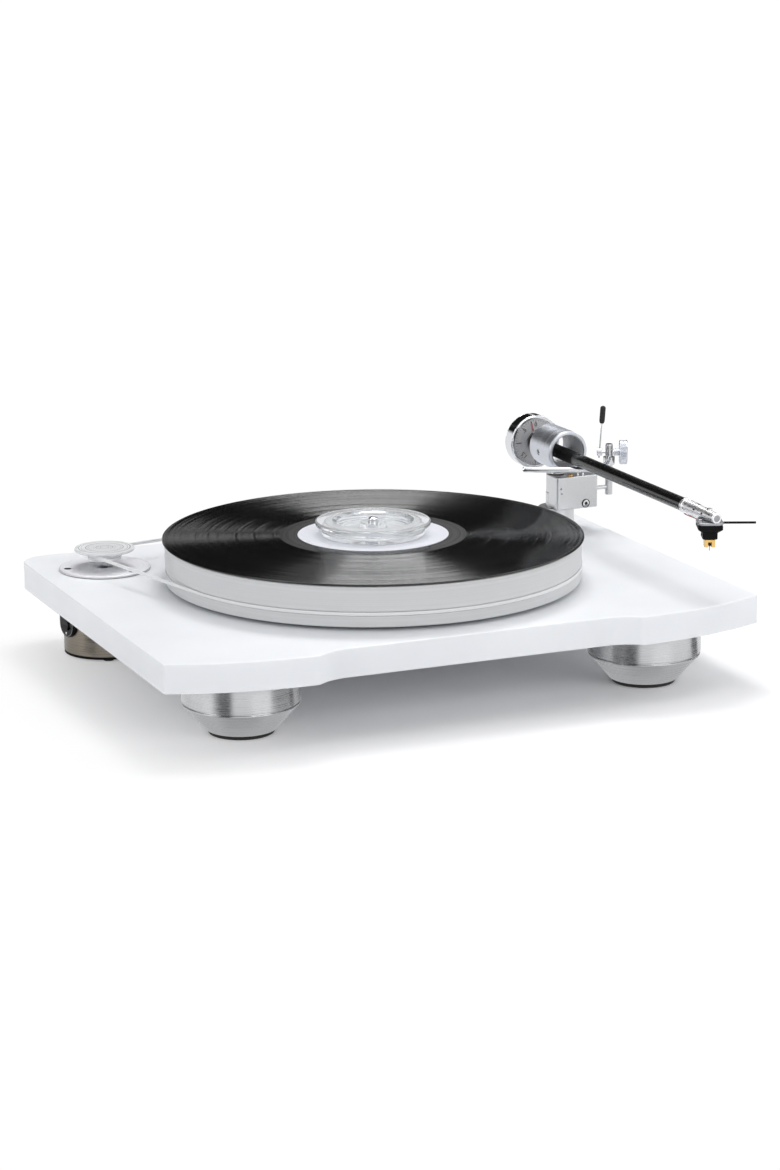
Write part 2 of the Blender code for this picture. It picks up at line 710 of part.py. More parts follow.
def build_record(axis):
    hole = SPINDLE_RADIUS + SEAT_GAP
    recess = RECORD_TOP - LABEL_RECESS_DEPTH
    land = RECORD_TOP - RECORD_LAND_DEPTH
    label_edge = LABEL_RADIUS + SEAT_GAP
    rim_inner = RECORD_RADIUS - RECORD_RIM_WIDTH
    lip = RECORD_THICKNESS / 3
    record = [
        (hole, RECORD_BOTTOM),
        (RECORD_RADIUS - lip, RECORD_BOTTOM),
        (RECORD_RADIUS, RECORD_BOTTOM + lip),
        (RECORD_RADIUS, RECORD_TOP - lip),
        (RECORD_RADIUS - lip, RECORD_TOP),
        (rim_inner, land),
        (label_edge, land),
        (label_edge, recess),
        (hole, recess),
    ]
    solid("record", turned(record, SIDES_LARGE), "black_vinyl", axis)
    label = tube(LABEL_RADIUS, hole, RECORD_TOP - LABEL_THICKNESS, RECORD_TOP, SIDES_MEDIUM)
    solid("record_label", label, "label_paper", axis)


def build_clamp(axis):
    low = RECORD_TOP + SEAT_GAP
    high = low + CLAMP_HEIGHT
    hole = SPINDLE_RADIUS + SEAT_GAP
    floor = high - CLAMP_DISH_DEPTH
    rim_low = high - CLAMP_RIM_HEIGHT
    clamp = [
        (hole, low),
        (CLAMP_BASE_RADIUS, low),
        (CLAMP_BASE_RADIUS, low + CLAMP_BASE_HEIGHT - EDGE_CHAMFER),
        (CLAMP_BASE_RADIUS - EDGE_CHAMFER, low + CLAMP_BASE_HEIGHT),
        (CLAMP_WAIST_RADIUS, low + CLAMP_BASE_HEIGHT),
        (CLAMP_WAIST_RADIUS, rim_low),
        (CLAMP_RADIUS - EDGE_CHAMFER, rim_low),
        (CLAMP_RADIUS, rim_low + EDGE_CHAMFER),
        (CLAMP_RADIUS, high - EDGE_CHAMFER),
        (CLAMP_RADIUS - EDGE_CHAMFER, high),
        (CLAMP_DISH_RADIUS, high),
        (CLAMP_DISH_RADIUS - EDGE_CHAMFER, floor),
        (CLAMP_BOSS_RADIUS, floor),
        (CLAMP_BOSS_RADIUS, high - CLAMP_BOSS_DROP),
        (hole, high - CLAMP_BOSS_DROP),
    ]
    solid("record_clamp", turned(clamp, SIDES_MEDIUM), "clear_acrylic", axis)


# Drive


def belt_outline(platter_radius, pulley_radius, sides_large=48, sides_small=14):
    """The belt's path, anticlockwise: round the platter, straight to the pulley and back."""
    distance = hypot(MOTOR_LEFT, MOTOR_BACK)
    to_motor = degrees(atan2(MOTOR_BACK, -MOTOR_LEFT))
    spread = 90 - degrees(asin((platter_radius - pulley_radius) / distance))
    start = to_motor + spread
    end = to_motor + 360 - spread
    around_platter = arc((0, 0), platter_radius, start, end, sides_large)
    motor = (-MOTOR_LEFT, MOTOR_BACK)
    around_pulley = arc(motor, pulley_radius, end - 360, start, sides_small)
    return around_platter + around_pulley


def build_belt(root):
    platter_inner = PLATTER_RADIUS - BELT_GROOVE_DEPTH + SEAT_GAP
    pulley_inner = PULLEY_HUB_RADIUS - PULLEY_GROOVE_DEPTH + SEAT_GAP
    inner = belt_outline(platter_inner, pulley_inner)
    outer = belt_outline(platter_inner + BELT_THICKNESS, pulley_inner + BELT_THICKNESS)
    low = BELT_MIDDLE - BELT_HEIGHT / 2
    high = BELT_MIDDLE + BELT_HEIGHT / 2
    shape = bmesh.new()
    rings = [(inner, low), (outer, low), (outer, high), (inner, high)]
    loops = [[shape.verts.new((x, y, height)) for x, y in ring] for ring, height in rings]
    count = len(inner)
    for lower, upper in zip(loops, loops[1:] + loops[:1]):
        for i in range(count):
            j = (i + 1) % count
            shape.faces.new((lower[i], lower[j], upper[j], upper[i]))
    solid("drive_belt", shape, "clear_silicone", root)


def build_pulley(axis):
    hub_low = BELT_MIDDLE - PULLEY_BELOW_BELT
    hub_high = hub_low + PULLEY_HUB_HEIGHT
    disc_high = hub_high + PULLEY_DISC_THICKNESS
    groove = BELT_HEIGHT / 2 + SEAT_GAP
    groove_high = min(BELT_MIDDLE + groove, hub_high)
    bore = MOTOR_SHAFT_RADIUS + SEAT_GAP
    bore_high = disc_high - PULLEY_TOP_SKIN
    pulley = [
        (bore, hub_low),
        (PULLEY_HUB_RADIUS - EDGE_CHAMFER, hub_low),
        (PULLEY_HUB_RADIUS, hub_low + EDGE_CHAMFER),
        (PULLEY_HUB_RADIUS, BELT_MIDDLE - groove),
        (PULLEY_HUB_RADIUS - PULLEY_GROOVE_DEPTH, BELT_MIDDLE - groove),
        (PULLEY_HUB_RADIUS - PULLEY_GROOVE_DEPTH, groove_high),
        (PULLEY_HUB_RADIUS, groove_high),
        (PULLEY_HUB_RADIUS, hub_high),
        (PULLEY_DISC_RADIUS - EDGE_CHAMFER, hub_high),
        (PULLEY_DISC_RADIUS, hub_high + EDGE_CHAMFER),
        (PULLEY_DISC_RADIUS, disc_high - EDGE_CHAMFER),
        (PULLEY_DISC_RADIUS - EDGE_CHAMFER, disc_high),
        (0, disc_high),
        (0, bore_high),
        (bore, bore_high),
    ]
    profile = [*pulley[13:], *pulley[:13]]
    solid("pulley", turned(profile, SIDES_MEDIUM), "clear_acrylic", axis)
    shaft_low = CAP_BOTTOM - SEAT_GAP - MOTOR_SHAFT_IN_STATOR
    shaft = rod(MOTOR_SHAFT_RADIUS, shaft_low, bore_high - SEAT_GAP, SIDES_TINY)
    solid("motor_shaft", shaft, "polished_steel", axis)


# Motor


def radial_turn(angle):
    """The turn that takes a shape's +Z outwards along the given direction."""
    return (0, 90, angle)


def build_motor(root, axis):
    wall_inner = MOTOR_RADIUS - MOTOR_WALL
    base_low = MOTOR_FOOT_HEIGHT + SEAT_GAP
    base_high = base_low + MOTOR_BASE_THICKNESS
    housing_low = base_high + SEAT_GAP
    housing_high = CAP_BOTTOM - SEAT_GAP
    housing = tube(MOTOR_RADIUS, wall_inner, housing_low, housing_high, SIDES_MEDIUM, EDGE_CHAMFER)
    housing = solid("motor_housing", housing, "brushed_steel", axis)
    base = rod(MOTOR_RADIUS, base_low, base_high, SIDES_MEDIUM)
    solid("motor_base", base, "black_plastic", axis)
    for i in range(MOTOR_FEET):
        angle = radians(MOTOR_FOOT_ANGLE + 360 * i / MOTOR_FEET)
        reach = MOTOR_RADIUS - MOTOR_FOOT_INSET
        place = (reach * cos(angle), reach * sin(angle), 0)
        foot = rod(MOTOR_FOOT_RADIUS, 0, MOTOR_FOOT_HEIGHT, SIDES_TINY)
        solid("motor_foot_%d" % (i + 1), foot, "black_rubber", axis, place)

    cap = tube(CAP_RADIUS, CAP_HOLE_RADIUS, CAP_BOTTOM, CAP_TOP, SIDES_MEDIUM, EDGE_CHAMFER / 2)
    cap = solid("motor_cap", cap, "satin_aluminium", axis)
    stator_high = CAP_BOTTOM - SEAT_GAP
    stator_low = stator_high - STATOR_LENGTH
    flange_radius = wall_inner - SEAT_GAP
    bore = MOTOR_SHAFT_RADIUS + SEAT_GAP
    bore_low = stator_high - MOTOR_SHAFT_IN_STATOR - SEAT_GAP
    stator = [
        (0, stator_low),
        (STATOR_RADIUS, stator_low),
        (STATOR_RADIUS, stator_high - STATOR_FLANGE),
        (flange_radius, stator_high - STATOR_FLANGE),
        (flange_radius, stator_high),
        (bore, stator_high),
        (bore, bore_low),
        (0, bore_low),
    ]
    stator = solid("motor_body", turned(stator, SIDES_MEDIUM), "satin_aluminium", axis)
    reach = CAP_RADIUS - CAP_SCREW_INSET
    clear = CAP_SCREW_RADIUS + SEAT_GAP
    head_room = CAP_SCREW_HEAD_RADIUS + SEAT_GAP
    sink = CAP_TOP - CAP_SCREW_HEAD - SEAT_GAP
    for i, angle in enumerate(CAP_SCREW_ANGLES):
        place = (reach * cos(radians(angle)), reach * sin(radians(angle)), 0)
        head_low = CAP_TOP - CAP_SCREW_HEAD
        screw = [
            (0, CAP_TOP - CAP_SCREW_LENGTH),
            (CAP_SCREW_RADIUS, CAP_TOP - CAP_SCREW_LENGTH),
            (CAP_SCREW_RADIUS, head_low),
            (CAP_SCREW_HEAD_RADIUS, head_low),
            (CAP_SCREW_HEAD_RADIUS, CAP_TOP),
            (0, CAP_TOP),
        ]
        solid("motor_cap_screw_%d" % (i + 1), turned(screw, SIDES_TINY), "polished_steel", axis, place)
        room = [
            (0, CAP_TOP - CAP_SCREW_LENGTH - SEAT_GAP),
            (clear, CAP_TOP - CAP_SCREW_LENGTH - SEAT_GAP),
            (clear, sink),
            (head_room, sink),
            (head_room, CAP_TOP + CUT_OVERRUN),
            (0, CAP_TOP + CUT_OVERRUN),
        ]
        hole = helper("cut_cap_screw_%d" % (i + 1), turned(room, SIDES_TINY), axis, place)
        combine(cap, "DIFFERENCE", [hole])
        combine(stator, "DIFFERENCE", [hole])
    build_switch(axis, housing)
    build_mains_gland(axis, housing)


def build_switch(axis, housing):
    """Oblong black plate with a rocker in it, on the motor's left side."""
    middle = PLINTH_BOTTOM - SWITCH_PLATE_BELOW_PLINTH - SWITCH_PLATE_HEIGHT / 2
    face = MOTOR_RADIUS + SWITCH_PLATE_PROUD
    frame = empty("switch_frame", axis, (0, 0, middle), radial_turn(SWITCH_ANGLE))
    half_width = SWITCH_PLATE_WIDTH / 2
    half_height = SWITCH_PLATE_HEIGHT / 2
    outline = rounded_rectangle(-half_height, half_height, -half_width, half_width, half_width * 0.98, 6)
    start = MOTOR_RADIUS - half_width / 2
    plate = solid("switch_plate", slab(outline, start, face, 0.0), "black_plastic", frame)
    against = MOTOR_RADIUS + SEAT_GAP
    housing_cut = helper(
        "cut_plate_back",
        rod(against, -SWITCH_PLATE_HEIGHT, SWITCH_PLATE_HEIGHT, SIDES_LARGE),
        axis,
        (0, 0, middle),
    )
    window = rounded_rectangle(
        -ROCKER_HEIGHT / 2 - SEAT_GAP,
        ROCKER_HEIGHT / 2 + SEAT_GAP,
        -ROCKER_WIDTH / 2 - SEAT_GAP,
        ROCKER_WIDTH / 2 + SEAT_GAP,
        EDGE_CHAMFER,
        2,
    )
    window_low = face + ROCKER_PROUD - ROCKER_DEPTH - CUT_OVERRUN
    opening = helper("cut_switch_window", slab(window, window_low, face + CUT_OVERRUN), frame)
    combine(plate, "DIFFERENCE", [housing_cut, opening])
    combine(housing, "DIFFERENCE", [opening])
    pivot = empty("switch_axis", frame, (0, 0, face), (0, -ROCKER_TILT, 0))
    profile = rounded_rectangle(
        -ROCKER_HEIGHT / 2 + SEAT_GAP,
        ROCKER_HEIGHT / 2 - SEAT_GAP,
        -ROCKER_WIDTH / 2,
        ROCKER_WIDTH / 2,
        EDGE_CHAMFER,
        2,
    )
    rocker = slab(profile, ROCKER_PROUD - ROCKER_DEPTH, ROCKER_PROUD, EDGE_CHAMFER)
    solid("power_switch", rocker, "black_plastic", pivot)


def build_mains_gland(axis, housing):
    """The gland that the mains lead enters, low on the motor's rear side. Its bore is empty."""
    frame = empty("gland_frame", axis, (0, 0, GLAND_HEIGHT), radial_turn(GLAND_ANGLE))
    inside = MOTOR_RADIUS - MOTOR_WALL - GLAND_COLLAR
    against = MOTOR_RADIUS + SEAT_GAP * 2
    gland = [
        (GLAND_BORE_RADIUS, inside),
        (GLAND_RADIUS, inside),
        (GLAND_RADIUS, against),
        (GLAND_COLLAR_RADIUS, against),
        (GLAND_COLLAR_RADIUS, against + GLAND_COLLAR),
        (GLAND_RADIUS, against + GLAND_COLLAR),
        (GLAND_RADIUS - EDGE_CHAMFER, inside + GLAND_LENGTH),
        (GLAND_BORE_RADIUS, inside + GLAND_LENGTH),
    ]
    solid("mains_gland", turned(gland, SIDES_SMALL), "black_plastic", frame)
    hole = rod(GLAND_RADIUS + SEAT_GAP, inside - CUT_OVERRUN, MOTOR_RADIUS + CUT_OVERRUN, SIDES_SMALL)
    combine(housing, "DIFFERENCE", [helper("cut_gland", hole, frame)])


# Tonearm base


def block_outline():
    """The arm's base block from above: a square block with a round left rear end about the pivot."""
    right = BLOCK_RIGHT
    corner = BLOCK_CORNER_RADIUS
    round_centre = (BLOCK_ROUND_RADIUS - BLOCK_LEFT, BLOCK_BACK - BLOCK_ROUND_RADIUS)
    points = arc((right - corner, -BLOCK_FRONT + corner), corner, 270, 360, 3)
    points += arc((right - corner, BLOCK_BACK - corner), corner, 0, 90, 3)
    points += arc(round_centre, BLOCK_ROUND_RADIUS, 90, 180, 8)
    points += arc((-BLOCK_LEFT + corner, -BLOCK_FRONT + corner), corner, 180, 270, 3)
    return points


def build_pillar(root):
    """Fixed pillar through the plinth, its nut below, and the gland for the signal lead."""
    flange_low = PLINTH_TOP + SEAT_GAP
    flange_high = BLOCK_BOTTOM - SEAT_GAP
    low = PLINTH_BOTTOM - PILLAR_BELOW_PLINTH
    high = BLOCK_BOTTOM + PILLAR_IN_BLOCK
    profile = [
        (SIGNAL_BORE_RADIUS, low),
        (PILLAR_RADIUS, low),
        (PILLAR_RADIUS, flange_low),
        (PILLAR_FLANGE_RADIUS, flange_low),
        (PILLAR_FLANGE_RADIUS, flange_high - EDGE_CHAMFER),
        (PILLAR_FLANGE_RADIUS - EDGE_CHAMFER, flange_high),
        (PILLAR_RADIUS, flange_high),
        (PILLAR_RADIUS, high),
        (SIGNAL_BORE_RADIUS, high),
    ]
    solid("arm_pillar", turned(profile, SIDES_SMALL), "satin_aluminium", root, ARM_PLACE)
    nut_high = PLINTH_BOTTOM - SEAT_GAP
    nut_low = nut_high - PILLAR_NUT_HEIGHT
    nut = solid("pillar_nut", rod(PILLAR_NUT_RADIUS, nut_low, nut_high, 6), "satin_aluminium", root, ARM_PLACE)
    nut_room = rod(PILLAR_RADIUS + SEAT_GAP, nut_low - CUT_OVERRUN, nut_high + CUT_OVERRUN, SIDES_SMALL)
    combine(nut, "DIFFERENCE", [helper("cut_nut", nut_room, root, ARM_PLACE)])
    gland_high = low - SEAT_GAP
    gland_low = gland_high - SIGNAL_GLAND_LENGTH
    gland = [
        (SIGNAL_BORE_RADIUS, gland_low),
        (SIGNAL_GLAND_RADIUS - 2 * EDGE_CHAMFER, gland_low),
        (SIGNAL_GLAND_RADIUS, gland_high - SIGNAL_GLAND_LENGTH / 3),
        (SIGNAL_GLAND_RADIUS, gland_high),
        (SIGNAL_BORE_RADIUS, gland_high),
    ]
    solid("signal_gland", turned(gland, SIDES_SMALL), "black_rubber", root, ARM_PLACE)


def build_arm_base(base):
    """The block that slides on the pillar, with its clamp bolt and the swing bearing."""
    block = slab(block_outline(), BLOCK_BOTTOM, BLOCK_TOP, BLOCK_CHAMFER)
    block = solid("arm_block", block, "satin_aluminium", base)
    pillar_top = BLOCK_BOTTOM + PILLAR_IN_BLOCK + HEIGHT_TRAVEL
    pillar_room = rod(
        PILLAR_RADIUS + SEAT_GAP,
        BLOCK_BOTTOM - CUT_OVERRUN,
        BLOCK_BOTTOM + PILLAR_IN_BLOCK + SEAT_GAP,
        SIDES_SMALL,
    )
    bush_low = BLOCK_TOP - PIVOT_BUSH_LENGTH
    bush_room = rod(PIVOT_BUSH_RADIUS + SEAT_GAP, bush_low - SEAT_GAP, BLOCK_TOP + CUT_OVERRUN, SIDES_SMALL)
    bolt_height = BLOCK_BOTTOM + CLAMP_BOLT_RISE
    bolt_room = rod(CLAMP_BOLT_SHANK_RADIUS + SEAT_GAP, -CLAMP_BOLT_LENGTH - SEAT_GAP, CUT_OVERRUN, SIDES_TINY)
    bolt_place = (CLAMP_BOLT_RIGHT, -BLOCK_FRONT, bolt_height)
    forward = (90, 0, 0)
    cutters = [
        helper("cut_block_pillar", pillar_room, base),
        helper("cut_block_bush", bush_room, base),
        helper("cut_block_bolt", bolt_room, base, bolt_place, forward),
    ]
    stud_height = ARM_AXIS - POST_STUD_DROP
    stud_room = rod(POST_STUD_RADIUS + SEAT_GAP, -post_reach() - CUT_OVERRUN, 0, SIDES_TINY)
    cutters.append(helper("cut_block_stud", stud_room, base, (POST_RIGHT, POST_BACK, stud_height), (0, 90, 0)))
    combine(block, "DIFFERENCE", cutters)
    bolt = [
        (0, -CLAMP_BOLT_LENGTH),
        (CLAMP_BOLT_SHANK_RADIUS, -CLAMP_BOLT_LENGTH),
        (CLAMP_BOLT_SHANK_RADIUS, SEAT_GAP),
        (CLAMP_BOLT_RADIUS, SEAT_GAP),
        (CLAMP_BOLT_RADIUS, CLAMP_BOLT_HEAD - EDGE_CHAMFER),
        (CLAMP_BOLT_RADIUS - EDGE_CHAMFER, CLAMP_BOLT_HEAD),
        (0, CLAMP_BOLT_HEAD),
    ]
    solid("clamp_bolt", turned(bolt, SIDES_SMALL), "polished_steel", base, bolt_place, forward)
    bush = tube(PIVOT_BUSH_RADIUS, PIVOT_SHAFT_RADIUS + SEAT_GAP, bush_low, BLOCK_TOP, SIDES_SMALL)
    solid("pivot_bush", bush, "sintered_bronze", base)
    return pillar_top


def post_reach():
    """How far the post's stud runs into the block, from the post's axis."""
    return POST_RIGHT - BLOCK_RIGHT + BLOCK_CORNER_RADIUS + CLAMP_BOLT_LENGTH / 2


# Tonearm


def build_ring(swing):
    """The bearing ring, its upright pivot shaft and the two tilt pivot screws. Its axis is the arm's."""
    ring = tube(RING_RADIUS, RING_BORE_RADIUS, -RING_BACK, RING_FRONT, SIDES_MEDIUM, RING_CHAMFER)
    ring = solid("bearing_ring", ring, "turned_aluminium", swing, (0, 0, RING_RISE), (90, 0, 0))
    wall_out = (RING_RADIUS**2 - RING_RISE**2) ** 0.5
    reach_in = TUBE_RADIUS + SEAT_GAP
    for label, side in (("left", -1), ("right", 1)):
        hole = rod(PIVOT_SCREW_RADIUS + SEAT_GAP, RING_RADIUS / 2, RING_RADIUS + CUT_OVERRUN, SIDES_TINY)
        turn = (0, 90 * side, 0)
        hole = helper("cut_pivot_" + label, hole, swing, (0, 0, 0), turn)
        combine(ring, "DIFFERENCE", [hole])
        screw = [
            (0, reach_in),
            (PIVOT_POINT_RADIUS, reach_in),
            (PIVOT_SCREW_RADIUS, reach_in + PIVOT_POINT_LENGTH),
            (PIVOT_SCREW_RADIUS, wall_out - PIVOT_SCREW_RECESS),
            (0, wall_out - PIVOT_SCREW_RECESS),
        ]
        solid("pivot_screw_" + label, turned(screw, SIDES_TINY), "polished_steel", swing, (0, 0, 0), turn)
    top = RING_RISE - RING_RADIUS - SEAT_GAP
    block_top = -BLOCK_TOP_DROP
    collar_low = block_top + PIVOT_COLLAR_GAP
    low = block_top - PIVOT_BUSH_LENGTH + SEAT_GAP
    shaft = [
        (0, low),
        (PIVOT_SHAFT_RADIUS, low),
        (PIVOT_SHAFT_RADIUS, collar_low),
        (PIVOT_COLLAR_RADIUS, collar_low),
        (PIVOT_COLLAR_RADIUS, (collar_low + top) / 2),
        (PIVOT_SHAFT_RADIUS, top),
        (0, top),
    ]
    solid("pivot_shaft", turned(shaft, SIDES_SMALL), "polished_steel", swing)


def build_arm_tube(tilt):
    """Tube and rear stub, about the arm's axis. Forward along the arm is -Y."""
    tube_shape = tube(TUBE_RADIUS, TUBE_BORE_RADIUS, -TUBE_BACK, TUBE_FRONT, SIDES_SMALL)
    solid("arm_tube", tube_shape, "carbon_tube", tilt, (0, 0, 0), (90, 0, 0))
    stub = rod(STUB_RADIUS, -STUB_BACK, STUB_IN_TUBE - TUBE_BACK, SIDES_SMALL, EDGE_CHAMFER)
    solid("weight_stub", stub, "polished_steel", tilt, (0, 0, 0), (90, 0, 0))


def build_weight(slide, turn_axis):
    """Counterweight on its threaded insert, with the dial let into its front."""
    insert_radius = STUB_RADIUS + SEAT_GAP + INSERT_WALL
    length = WEIGHT_RIM_LENGTH + WEIGHT_TAPER_LENGTH
    insert_high = -DIAL_DROP - DIAL_THICKNESS - 2 * SEAT_GAP
    insert = tube(
        insert_radius,
        STUB_RADIUS + SEAT_GAP,
        -length + INSERT_BACK,
        insert_high,
        SIDES_SMALL,
    )
    solid("weight_insert", insert, "black_plastic", slide, (0, 0, 0), (90, 0, 0))
    bore = insert_radius + SEAT_GAP
    dial_floor = -DIAL_DROP - DIAL_THICKNESS - SEAT_GAP
    hollow = -length + WEIGHT_HOLLOW_DEPTH
    weight = [
        (bore, hollow),
        (WEIGHT_HOLLOW_RADIUS, hollow),
        (WEIGHT_HOLLOW_RADIUS, -length),
        (WEIGHT_TAIL_RADIUS, -length),
        (WEIGHT_RADIUS, -WEIGHT_RIM_LENGTH),
        (WEIGHT_RADIUS, -WEIGHT_RIM_CHAMFER),
        (WEIGHT_RADIUS - WEIGHT_RIM_CHAMFER, 0),
        (DIAL_RADIUS + SEAT_GAP, 0),
        (DIAL_RADIUS + SEAT_GAP, dial_floor),
        (bore, dial_floor),
    ]
    solid("counterweight", turned(weight, SIDES_MEDIUM), "polished_steel", turn_axis, (0, 0, 0), (90, 0, 0))
    dial = tube(
        DIAL_RADIUS,
        STUB_RADIUS + SEAT_GAP,
        -DIAL_DROP - DIAL_THICKNESS,
        -DIAL_DROP,
        SIDES_MEDIUM,
    )
    solid("weight_dial", dial, "satin_aluminium", turn_axis, (0, 0, 0), (90, 0, 0))


def build_head(tilt):
    """Headshell, cartridge and finger lift. The cartridge's own frame has its front at -Y."""
    head = empty("head_frame", tilt, (0, -ARM_REACH, -STYLUS_DROP), (0, 0, -OFFSET_ANGLE))
    plate_low = (
        STYLUS_LENGTH + GENERATOR_HEIGHT + CARTRIDGE_HEIGHT + CANTILEVER_LENGTH * sin(radians(20))
        + 2 * SEAT_GAP
    )
    plate_high = plate_low + PLATE_THICKNESS
    half = PLATE_WIDTH / 2
    outline = rounded_rectangle(-half, half, -PLATE_AHEAD, PLATE_BEHIND, PLATE_CORNER_RADIUS, 3)
    shell = solid("headshell", slab(outline, plate_low, plate_high, PLATE_THICKNESS / 4), "polished_steel", head)
    collar_low = TUBE_FRONT - COLLAR_LENGTH
    collar_high = TUBE_FRONT + SEAT_GAP + EDGE_CHAMFER
    collar = rod(COLLAR_RADIUS, collar_low, collar_high, SIDES_SMALL, EDGE_CHAMFER)
    collar = helper("join_collar", collar, tilt, (0, 0, 0), (90, 0, 0))
    neck = bmesh.new()
    top_back = -TUBE_FRONT - SEAT_GAP + COLLAR_LENGTH / 4
    end = -ARM_REACH + PLATE_BEHIND / 3
    plate_up = plate_high - STYLUS_DROP - PLATE_THICKNESS / 2
    half_neck = NECK_WIDTH / 2
    sections = (
        (top_back, -COLLAR_RADIUS * 0.7, COLLAR_RADIUS * 0.7, half_neck),
        ((top_back + end) / 2, plate_up, plate_up + NECK_THICKNESS * 2, half_neck),
        (end, plate_up, plate_up + NECK_THICKNESS, half_neck * 0.8),
    )
    rings = [
        [(-w, y, low), (w, y, low), (w, y, high), (-w, y, high)] for y, low, high, w in sections
    ]
    neck = helper("join_neck", skin(neck, rings), tilt)
    combine(shell, "UNION", [neck, collar])
    room = helper(
        "cut_tube_end",
        rod(TUBE_RADIUS + SEAT_GAP, 0, TUBE_FRONT + SEAT_GAP, SIDES_SMALL),
        tilt,
        (0, 0, 0),
        (90, 0, 0),
    )
    combine(shell, "DIFFERENCE", [room])
    screw_low = plate_high + NECK_THICKNESS
    screw = rod(HEAD_SCREW_RADIUS, 0, HEAD_SCREW_HEAD, SIDES_TINY, EDGE_CHAMFER / 2)
    solid("headshell_screw", screw, "polished_steel", head, (0, NECK_AHEAD, screw_low), (0, 0, 0))

    body_high = plate_low - SEAT_GAP
    body_low = body_high - CARTRIDGE_HEIGHT
    middle_y = (PLATE_BEHIND - PLATE_AHEAD) / 2
    levels = (
        (body_low, CARTRIDGE_FOOT_WIDTH, CARTRIDGE_FOOT_DEPTH),
        (body_high - CARTRIDGE_TOP_HEIGHT - CARTRIDGE_TAPER_HEIGHT, CARTRIDGE_FOOT_WIDTH, CARTRIDGE_FOOT_DEPTH),
        (body_high - CARTRIDGE_TOP_HEIGHT, CARTRIDGE_WIDTH, CARTRIDGE_DEPTH),
        (body_high, CARTRIDGE_WIDTH, CARTRIDGE_DEPTH),
    )
    rings = []
    for height, width, depth in levels:
        w = width / 2
        d = depth / 2
        ring = rounded_rectangle(-w, w, middle_y - d, middle_y + d, EDGE_CHAMFER, 2)
        rings.append([(x, y, height) for x, y in ring])
    solid("cartridge_body", skin(bmesh.new(), rings), "black_plastic", head)
    generator_high = body_low - SEAT_GAP
    generator_low = generator_high - GENERATOR_HEIGHT
    w = GENERATOR_WIDTH / 2
    generator_front = middle_y - CARTRIDGE_FOOT_DEPTH / 2 + GENERATOR_AHEAD
    outline = rounded_rectangle(-w, w, generator_front, generator_front + GENERATOR_DEPTH, EDGE_CHAMFER, 2)
    solid("cartridge_generator", slab(outline, generator_low, generator_high), "gold_alloy", head)
    root_height = generator_low - SEAT_GAP - CANTILEVER_RADIUS
    path = [
        (0, CANTILEVER_LENGTH, root_height),
        (0, CANTILEVER_LENGTH / 2, (root_height + STYLUS_LENGTH) / 2),
        (0, 0, STYLUS_LENGTH),
    ]
    needle = solid("stylus", swept(path, CANTILEVER_RADIUS, 6), "polished_steel", head)
    tip = rod(STYLUS_RADIUS * 2, 0, STYLUS_LENGTH, 6, 0, STYLUS_RADIUS * 2)
    combine(needle, "UNION", [helper("join_tip", tip, head)])
    finger_height = (plate_low + plate_high) / 2
    finger = rod(FINGER_RADIUS, half + SEAT_GAP, half + FINGER_LENGTH, SIDES_TINY)
    solid("finger_lift", finger, "black_plastic", head, (0, 0, finger_height), (0, 90, 0))


# Arm lift


def build_lift_post(base):
    """Upright post that guides the lift bar, carried on a stud in the block's right side."""
    place = (POST_RIGHT, POST_BACK, ARM_AXIS)
    post = rod(POST_RADIUS, -POST_BELOW_PIVOT, POST_RISE, SIDES_SMALL, EDGE_CHAMFER)
    post = solid("lift_post", post, "satin_aluminium", base, place)
    stud = rod(POST_STUD_RADIUS, -post_reach(), 0, SIDES_TINY)
    stud_place = (POST_RIGHT, POST_BACK, ARM_AXIS - POST_STUD_DROP)
    combine(post, "UNION", [helper("join_stud", stud, base, stud_place, (0, 90, 0))])
    hole = rod(LIFT_SHAFT_RADIUS + SEAT_GAP, -POST_RADIUS * 2, POST_RADIUS * 2, SIDES_TINY)
    shaft_place = (POST_RIGHT, POST_BACK, ARM_AXIS - LIFT_SHAFT_DROP)
    combine(post, "DIFFERENCE", [helper("cut_shaft", hole, base, shaft_place, (0, 90, LIFT_ANGLE))])


def bar_height():
    """Middle of the lift bar, measured from the arm's axis, so that the tube rests just above it."""
    drop_at_bar = BAR_AHEAD * sin(radians(ARM_NOSE_DOWN))
    return -TUBE_RADIUS - SEAT_GAP - BAR_RADIUS - drop_at_bar


def build_lift_bar(slide):
    """The bar under the arm tube, its bent link and the sleeve that slides on the post."""
    along = Vector((cos(radians(LIFT_ANGLE)), sin(radians(LIFT_ANGLE)), 0))
    ahead = Vector((along.y, -along.x, 0))
    height = Vector((0, 0, bar_height()))
    centre = ahead * BAR_AHEAD + height
    post = Vector((POST_RIGHT, POST_BACK, 0)) + height
    bend = centre + along * (BAR_RIGHT + BAR_BOW * 6)
    left_part = [
        centre - along * BAR_LEFT - ahead * BAR_BOW,
        centre - along * BAR_LEFT / 2,
        centre + along * 0,
        centre + along * BAR_RIGHT * 0.7 - ahead * BAR_BOW / 2,
        bend - ahead * BAR_BOW * 4,
        (bend + post) / 2 + along * BAR_BOW,
        post - (post - bend).normalized() * (POST_RADIUS + BAR_RADIUS / 2),
    ]
    bar = solid("lift_bar", swept(smooth_path(left_part, 3), BAR_RADIUS, SIDES_TINY), "polished_steel", slide)
    middle = bar_height()
    low = middle - SLEEVE_BELOW_BAR
    high = middle + SLEEVE_ABOVE_BAR
    sleeve = rod(SLEEVE_RADIUS, low, high, SIDES_SMALL, EDGE_CHAMFER)
    sleeve = helper("join_sleeve", sleeve, slide, (POST_RIGHT, POST_BACK, 0))
    room = rod(POST_RADIUS + SEAT_GAP, low - CUT_OVERRUN, high + CUT_OVERRUN, SIDES_SMALL)
    room = helper("cut_sleeve", room, slide, (POST_RIGHT, POST_BACK, 0))
    combine(bar, "UNION", [sleeve])
    combine(bar, "DIFFERENCE", [room])


